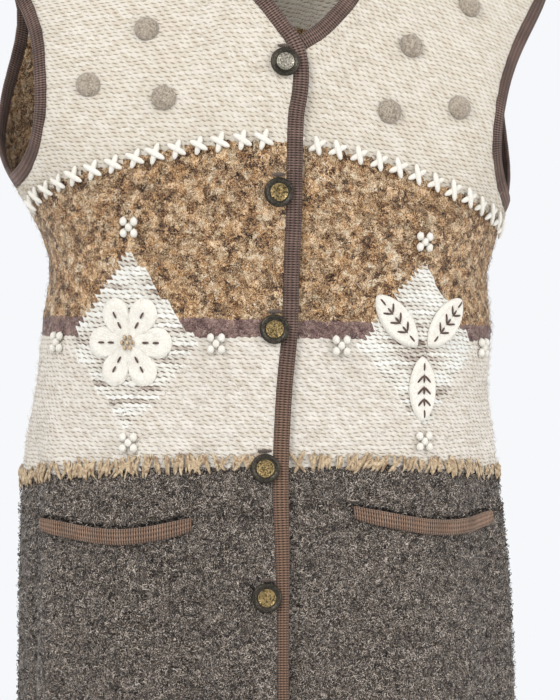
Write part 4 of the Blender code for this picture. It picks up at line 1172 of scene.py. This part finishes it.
def on_cloth(panel, u, v):
    """Point, normal, directions across and up, and how far off the panel, at a place on its knit map."""
    rows, columns = panel["knit"].shape[:2]
    _, index, away = panel["finder"].find((u, v, 0.0))
    i = min(max(index // columns, 1), rows - 2)
    j = min(max(index % columns, 1), columns - 2)
    knit, outer = panel["knit"], panel["outer"]
    slopes = np.stack([(knit[i, j + 1] - knit[i, j - 1]) / 2, (knit[i + 1, j] - knit[i - 1, j]) / 2], 1)
    steps = np.linalg.solve(slopes, np.array((u, v)) - knit[i, j])
    by_column = (outer[i, j + 1] - outer[i, j - 1]) / 2
    by_row = (outer[i + 1, j] - outer[i - 1, j]) / 2
    point = outer[i, j] + by_column * steps[0] + by_row * steps[1]
    normal = panel["normals"][i, j]
    across = by_column / slopes[0, 0]
    across = across / np.linalg.norm(across)
    return point, normal, across, np.cross(normal, across), away


def on_motif(panel, round_by, up_by):
    """The place on a front at an offset from the middle of its motif."""
    return on_cloth(panel, panel["side"] * (MOTIF_ROUND + round_by), MOTIF_HEIGHT + up_by)


def applied_mesh(name, panel, outline, crown, rings, sectors):
    """A closed low cushion on a front. outline gives the offset at a turn and a radius, crown the height."""
    share = np.concatenate([np.linspace(0, 1, rings), np.linspace(1, 0, 5)])
    top = np.arange(len(share)) < rings
    turns = np.linspace(0, 2 * math.pi, sectors + 1)
    places = np.zeros((len(share), sectors + 1, 3))
    for j, turn in enumerate(turns[:-1]):
        for i, radius in enumerate(share):
            point, normal, *_ = on_motif(panel, *outline(turn, radius))
            out = crown(turn, radius) if top[i] else 0.0
            places[i, j] = point + normal * (MOTIF_GAP + out)
    places[:, -1] = places[:, 0]
    return woven_mesh(name, places, np.zeros((*places.shape[:2], 2)), tube=True)


def daisy_outline(turn, radius):
    """Six round petals that meet at the eye."""
    swell = abs(math.cos(turn * DAISY_PETALS / 2))
    reach = radius * DAISY_RADIUS * (1 - DAISY_NOTCH + DAISY_NOTCH * swell**PETAL_ROUNDNESS)
    return reach * math.cos(turn), reach * math.sin(turn)


def daisy_crown(turn, radius):
    """Raised round each petal's edge and along its rows of crochet, and low between the petals."""
    swell = abs(math.cos(turn * DAISY_PETALS / 2))
    edge_ridge = 0.0010 * math.exp(-(((radius - 0.86) / 0.10) ** 2))
    between = -0.0011 * (1 - swell) ** 2 * min(radius * 2, 1)
    crochet = 0.00030 * math.cos(turn * 60) * min(radius * 2, 1)
    return MOTIF_WALL * (1 - radius**10) + edge_ridge + between + crochet - 0.0007 * (0.25 < radius < 0.7)


white_yarn = yarn_material("thick_white_wool", (253, 250, 242), (236, 228, 212), 350.0)
daisy = applied_mesh("daisy_applique", right, daisy_outline, daisy_crown, 18, 180)
daisy.data.materials.append(white_yarn)
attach(daisy, "root")
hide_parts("daisy")


def on_leaf(leaf, long_way, wide_way):
    """A place's offset from the motif's middle. It is given in shares of a leaf's half length and width."""
    round_by, up_by, turn_degrees = leaf
    lay = math.radians(turn_degrees)
    long_way, wide_way = long_way * LEAF_LENGTH / 2, wide_way * LEAF_WIDTH / 2
    away = round_by + long_way * math.cos(lay) - wide_way * math.sin(lay)
    return away, up_by + long_way * math.sin(lay) + wide_way * math.cos(lay)


def leaf_crown(turn, radius):
    """Raised round the leaf's edge, ribbed by its rows of crochet, and sunk along its middle."""
    ridge = 0.0009 * math.exp(-(((radius - 0.84) / 0.12) ** 2))
    crochet = 0.00025 * math.cos(turn * 30) * min(radius * 2, 1)
    return MOTIF_WALL * (1 - radius**10) + ridge + crochet - 0.0006 * math.exp(-((radius / 0.3) ** 2))


for number, leaf_lay in enumerate(LEAVES, 1):

    def leaf_outline(turn, radius, leaf_lay=leaf_lay):
        pointed = math.sin(turn) * abs(math.sin(turn)) ** LEAF_POINTEDNESS
        return on_leaf(leaf_lay, radius * math.cos(turn), radius * pointed)

    leaf = applied_mesh(f"leaf_applique_{number}", left, leaf_outline, leaf_crown, 16, 96)
    leaf.data.materials.append(white_yarn)
    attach(leaf, "root")
    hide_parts(f"leaf_{number}")

# The hand stitching
# Worked after the panels were joined: big white cross-stitches along the yoke seam, tan overcast stitches
# along the skirt seam, white knots in fives, dark veins on petals and leaves, and small stitches at the
# buttonholes.
CROSS_PITCH = 0.0186
CROSS_HALF = (0.0056, 0.0070)
CROSS_RADIUS = 0.0027
CROSS_LIFT = 0.0013
OVERCAST_PITCH = 0.0084
OVERCAST_HALF = 0.0088
OVERCAST_RISE = 0.003
BACK_REACH = 0.30
OFF_THE_PANEL = 0.004
TAN_GRAIN = 420
TAN_CURL = 0.0009
bm = bmesh.new()
bmesh.ops.create_uvsphere(bm, u_segments=8, v_segments=6, radius=1.0)
ball_mesh = mesh_of("ball", bm)


def yarn_bar(bm, start, end, normal, radius, arch=0.0008, flatness=0.7):
    """One stitch of thick yarn: a soft bar from start to end that arches off the cloth."""
    middle, half = (start + end) / 2, (end - start) / 2
    along_bar = half / np.linalg.norm(half)
    side = np.cross(normal, along_bar)
    first = len(bm.verts)
    bm.from_mesh(ball_mesh)
    bm.verts.ensure_lookup_table()
    for vert in bm.verts[first:]:
        x, y, z = vert.co
        stretch = math.copysign(abs(z) ** 0.7, z)
        out = radius * flatness * (1 + y) + arch * (1 - stretch * stretch)
        vert.co = Vector(middle + half * stretch + side * (radius * x) + normal * out)


def stitched(name, bm, material):
    """All the stitches of one yarn as a piece."""
    bmesh.ops.recalc_face_normals(bm, faces=bm.faces)
    sewn_on(name, bm, material)


def along_seam(panel, seam, start, reach, pitch):
    """Where the stitches of a seam come, how far round, at even steps along it."""
    line, curve = seam
    side = panel["side"] or 1
    rounds = np.arange(start, reach, 0.002)
    places = np.array([on_cloth(panel, side * u, line + curve * u * u)[0] for u in rounds])
    steps = np.linalg.norm(np.diff(places, axis=0), axis=1)
    so_far = np.concatenate([[0.0], np.cumsum(steps)])
    return np.interp(np.arange(0.0, so_far[-1], pitch), so_far, rounds)


def seam_stitches(front_seam, back_seam, start, reach, pitch, unevenness, above=0.0):
    """Each stitch of a seam on the three panels: its place, normal, directions and the seam's slope there."""
    for panel, seam in ((right, front_seam), (left, front_seam), (back, back_seam)):
        line, curve = seam
        side = panel["side"] or 1
        first, last = (start, reach) if panel["side"] else (-BACK_REACH, BACK_REACH)
        for u in along_seam(panel, seam, first, last, pitch):
            u = side * (u + chance.normal(0, unevenness))
            point, normal, across, up, away = on_cloth(panel, u, line + curve * u * u + above)
            if away <= OFF_THE_PANEL:
                yield point, normal, across, up, 2 * curve * u


bm = bmesh.new()
yoke_seam = seam_stitches(YOKE_LINE, BACK_YOKE_LINE, 0.017, 0.25, CROSS_PITCH, 0.0005)
for point, normal, across, up, slope in yoke_seam:
    across, up = across + up * slope, up - across * slope
    wide, tall = (half * chance.uniform(0.9, 1.1) for half in CROSS_HALF)
    for lean, lift in ((1, 0.0), (-1, CROSS_LIFT)):
        foot = point - across * (wide * lean) - up * tall
        head = point + across * (wide * lean) + up * tall
        yarn_bar(bm, foot + normal * lift, head + normal * lift, normal, CROSS_RADIUS)
stitched("yoke_cross_stitches", bm, white_yarn)

tan_yarn = yarn_material("tan_curled_yarn", (226, 204, 168), (136, 106, 78), 170.0)
bm = bmesh.new()
skirt_seam = seam_stitches(JOIN_LINE, BACK_JOIN_LINE, 0.020, 0.30, OVERCAST_PITCH, 0.0010, OVERCAST_RISE)
for point, normal, across, up, _ in skirt_seam:
    size = OVERCAST_HALF * chance.uniform(0.65, 1.2)
    for strand in range(chance.integers(2, 6)):
        tilt = chance.normal(0.15, 0.38) + 0.22 * (strand - 1.5)
        tall = size * chance.uniform(0.7, 1.15)
        end = across * (tilt * tall) + up * tall
        foot = point + across * (0.0018 * (strand - 1.5)) + normal * (0.0006 * (strand % 2))
        yarn_bar(bm, foot - end, foot + end, normal, chance.uniform(0.0010, 0.0018), 0.0016)
for vert in bm.verts:
    grain = vert.co * TAN_GRAIN
    vert.co += Vector([noise.noise(grain + Vector((9.0 * k, 0, 0))) * TAN_CURL for k in range(3)])
stitched("skirt_overcast_stitches", bm, tan_yarn)

KNOT_RADIUS = 0.0041
KNOT_SPREAD = 0.0066
KNOT_GROUPS = ((0.076, 0.0), (-0.076, 0.0), (0.0, 0.090), (0.0, -0.082))
KNOTS_IN_GROUP = 5
bm = bmesh.new()
for panel in (right, left):
    for round_by, up_by in KNOT_GROUPS:
        for k in range(KNOTS_IN_GROUP):
            turn = k * 2 * math.pi / (KNOTS_IN_GROUP - 1) + math.pi / 4
            reach = KNOT_SPREAD if k < KNOTS_IN_GROUP - 1 else 0.0
            aside, above = reach * math.cos(turn), reach * math.sin(turn)
            point, normal, across, up, _ = on_motif(panel, round_by + aside, up_by + above)
            wide = across * KNOT_RADIUS * 0.75
            yarn_bar(bm, point - wide, point + wide, normal, KNOT_RADIUS * 0.9, 0.0006, 0.75)
            yarn_bar(bm, point - up * KNOT_RADIUS, point + up * KNOT_RADIUS, normal, 0.0020, 0.0030, 0.75)
stitched("white_knots", bm, white_yarn)

EYE_SPREAD = 0.0046
EYE_HALF = 0.0017
VEIN_YARN = (0.0010, 0.0004)
dark_yarn = yarn_material("dark_brown_yarn", (112, 88, 76), (62, 46, 42), 420.0)
bm = bmesh.new()
for k in range(DAISY_PETALS):
    turn = k * 2 * math.pi / DAISY_PETALS
    for near, far in ((0.0125, 0.0185), (0.0215, 0.0275)):
        ends = []
        for reach in (near, far):
            point, normal, *_ = on_motif(right, reach * math.cos(turn), reach * math.sin(turn))
            ends.append(point + normal * (MOTIF_GAP + MOTIF_WALL * 0.75))
        yarn_bar(bm, *ends, normal, *VEIN_YARN)
for leaf_lay in LEAVES:
    veins = [((-0.82 + 0.36 * k, 0.0), (-0.56 + 0.36 * k, 0.0)) for k in range(5)]
    for k in range(3):
        veins += [((-0.42 + 0.36 * k, 0.05 * s), (-0.20 + 0.36 * k, 0.50 * s)) for s in (1, -1)]
    for vein in veins:
        ends = []
        for long_way, wide_way in vein:
            point, normal, *_ = on_motif(left, *on_leaf(leaf_lay, long_way, wide_way))
            ends.append(point + normal * (MOTIF_GAP + MOTIF_WALL * 0.72))
        yarn_bar(bm, *ends, normal, *VEIN_YARN)
stitched("petal_and_vein_stitches", bm, dark_yarn)

bm = bmesh.new()
for k in range(DAISY_PETALS + 1):
    turn = k * 2 * math.pi / DAISY_PETALS
    reach = EYE_SPREAD if k < DAISY_PETALS else 0.0
    point, normal, across, *_ = on_motif(right, reach * math.cos(turn), reach * math.sin(turn))
    point = point + normal * (MOTIF_GAP + MOTIF_WALL * 0.8)
    yarn_bar(bm, point - across * EYE_HALF, point + across * EYE_HALF, normal, 0.0022, 0.0008, 0.8)
stitched("daisy_eye", bm, tan_yarn)

BUTTONHOLE_RISE = 0.0150
BUTTONHOLE_PITCH = 0.0017
buttonhole_yarn = yarn_material("buttonhole_thread", (128, 112, 100), (78, 66, 60), 800.0)
bm = bmesh.new()
for height in BUTTON_HEIGHTS:
    point, normal = button_place(height)
    up = np.array((0.0, 0.0, 1.0)) - normal * normal[2]
    up = up / np.linalg.norm(up)
    side = np.cross(up, normal)
    for k in range(-3, 4):
        spot = point + up * BUTTONHOLE_RISE + side * (BUTTONHOLE_PITCH * k)
        reach = up * (0.0021 - 0.0003 * abs(k))
        yarn_bar(bm, spot - reach, spot + reach, normal, 0.0009, 0.0006)
stitched("buttonhole_stitches", bm, buttonhole_yarn)

# The mohair's halo and loops
# Long hairs stand off the cream and tweed knitting, and the skirt's looped yarn is covered in small curls.
# Each fibre is a narrow strip that takes its colour from the stitch where it is rooted.
FIBRE_COLUMNS = ("length", "width", "rise", "curl", "both_ends")
FIBRES = {
    "cream": (0.0070, 0.00013, 0.0026, 0.0012, False),
    "tweed": (0.0054, 0.00022, 0.0028, 0.0018, False),
    "charcoal": (0.0038, 0.00030, 0.0024, 0.0014, True),
}
FIBRES_ON_FRONT = {"cream": 2600, "tweed": 5000, "charcoal": 9500}
FIBRES_ON_BACK = {"cream": 2600, "tweed": 4600, "charcoal": 9500}
FIBRE_STEPS = 3
CURLS_FROM = -0.80
HALO_TO = 0.3


def fibres(name, panel, kind, count, low, high):
    """Strips of fibre rooted at seeded random places between two heights of a panel."""
    fibre = dict(zip(FIBRE_COLUMNS, FIBRES[kind]))
    knit, outer, normals = panel["knit"], panel["outer"], panel["normals"]
    inside = (knit[1:-1, 1:-1, 1] > low) & (knit[1:-1, 1:-1, 1] < high)
    rows, columns = np.nonzero(inside)
    picked = chance.integers(0, len(rows), count)
    i, j = rows[picked] + 1, columns[picked] + 1
    shift_row, shift_column = chance.uniform(-0.5, 0.5, (2, count, 1))
    by_column, by_row = outer[i, j + 1] - outer[i, j], outer[i + 1, j] - outer[i, j]
    root = outer[i, j] + by_column * shift_column + by_row * shift_row
    normal = normals[i, j]
    across = by_column / np.linalg.norm(by_column, axis=1, keepdims=True)
    up = np.cross(normal, across)
    turn = chance.uniform(0, 2 * math.pi, (count, 1))
    lay = across * np.cos(turn) + up * np.sin(turn)
    side = np.cross(normal, lay)
    scale = chance.uniform(0.5, 1.3, (count, 1))
    t = np.linspace(0, 1, FIBRE_STEPS + 1)[None, :, None]
    climb = 4 * t * (1 - t) if fibre["both_ends"] else 1.5 * t - 0.5 * t * t
    wander = chance.uniform(-1, 1, (count, 1, 1)) * np.sin(t * math.pi)
    wander = wander + chance.uniform(-0.6, 0.6, (count, 1, 1)) * np.sin(t * 2 * math.pi)
    line = root[:, None] + lay[:, None] * (fibre["length"] * scale[:, None] * (t - 0.2))
    rise = fibre["rise"] * scale[:, None] * climb * chance.uniform(0.2, 1.2, (count, 1, 1))
    line = line + normal[:, None] * rise
    line = line + side[:, None] * (fibre["curl"] * wander)
    taper = 1.0 if fibre["both_ends"] else 1 - 0.75 * t
    tip = side[:, None] * np.cos(turn * 3)[:, None] + normal[:, None] * np.abs(np.sin(turn * 3))[:, None]
    half = tip * (fibre["width"] * taper)
    places = np.stack([line - half, line + half], 1).reshape(count * 2, FIBRE_STEPS + 1, 3)
    own = knit[i, j] + chance.uniform(-0.004, 0.004, (count, 2))
    map_of = np.repeat(np.repeat(own[:, None, :], FIBRE_STEPS + 1, 1)[:, None], 2, 1)
    map_of = map_of.reshape(count * 2, FIBRE_STEPS + 1, 2)
    gone = np.zeros((count * 2, FIBRE_STEPS + 1), bool)
    gone[1::2] = True
    made = woven_mesh(name, places, map_of, gone)
    made.data.materials.append(panel["cloth"].data.materials[0])
    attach(made, "root")


for word, panel in (("right", right), ("left", left), ("back", back)):
    counts = FIBRES_ON_BACK if panel is back else FIBRES_ON_FRONT
    yoke = BACK_YOKE_LINE[0] if panel is back else YOKE_LINE[0] - 0.02
    join = JOIN_LINE[0] - 0.008
    fibres(f"{word}_cream_halo", panel, "cream", counts["cream"], yoke, HALO_TO)
    fibres(f"{word}_tweed_halo", panel, "tweed", counts["tweed"], join, yoke)
    fibres(f"{word}_skirt_curls", panel, "charcoal", counts["charcoal"], CURLS_FROM, join)

# The camera, the lights and the floor
# A level close view a little to the wearer's right of the centre, in soft daylight from a white studio.
CAMERA_PLACE = (-0.2547, -2.2356, -0.414)
CAMERA_FACING = (0.1132, 0.9936, 0.0)
CAMERA_LENS = 85.71
SENSOR_HEIGHT = 24.0
FRAME_SHIFT = 18 / 700
STUDIO_WHITE = (0.925, 0.938, 0.962, 1.0)
LIT_PLACE = Vector((0.0, 0.0, -0.40))
LAMPS = (("key", (-1.4, -1.8, 1.0), 33.0, 0.8), ("fill", (1.8, -1.7, 0.2), 27.0, 1.6))
FLOOR_RADIUS = 1.15
FLOOR_HEIGHT = -0.90
camera = laid_out("camera", bpy.data.cameras.new("camera"))
camera.data.sensor_fit = "VERTICAL"
camera.data.sensor_height = SENSOR_HEIGHT
camera.data.lens = CAMERA_LENS
camera.data.shift_x = FRAME_SHIFT
camera.location = CAMERA_PLACE
camera.rotation_euler = Vector(CAMERA_FACING).to_track_quat("-Z", "Y").to_euler()
bpy.context.scene.camera = camera

world = bpy.data.worlds.new("studio")
bpy.context.scene.world = world
world.use_nodes = True
world.node_tree.nodes["Background"].inputs[0].default_value = STUDIO_WHITE
world.node_tree.nodes["Background"].inputs[1].default_value = 1.0
for name, place, power, size in LAMPS:
    lamp = bpy.data.lights.new(name, "AREA")
    lamp.energy = power
    lamp.size = size
    holder = laid_out(name, lamp)
    holder.location = place
    holder.rotation_euler = (LIT_PLACE - Vector(place)).to_track_quat("-Z", "Y").to_euler()
bpy.context.scene.view_settings.view_transform = "Standard"

bm = bmesh.new()
bmesh.ops.create_circle(bm, cap_ends=True, segments=96, radius=FLOOR_RADIUS)
bmesh.ops.translate(bm, verts=bm.verts, vec=(0.0, 0.0, FLOOR_HEIGHT))
floor = laid_out("floor", mesh_of("floor", bm))
pale = bpy.data.materials.new("pale_floor")
pale.use_nodes = True
floor_shader = pale.node_tree.nodes["Principled BSDF"]
floor_shader.inputs["Base Color"].default_value = (0.82, 0.82, 0.82, 1.0)
floor_shader.inputs["Roughness"].default_value = 0.9
floor.data.materials.append(pale)
floor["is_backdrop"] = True

boxes = {"cad": built_box, "visual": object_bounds()}
{key: [[float(n) for n in corner] for corner in box] for key, box in boxes.items()}
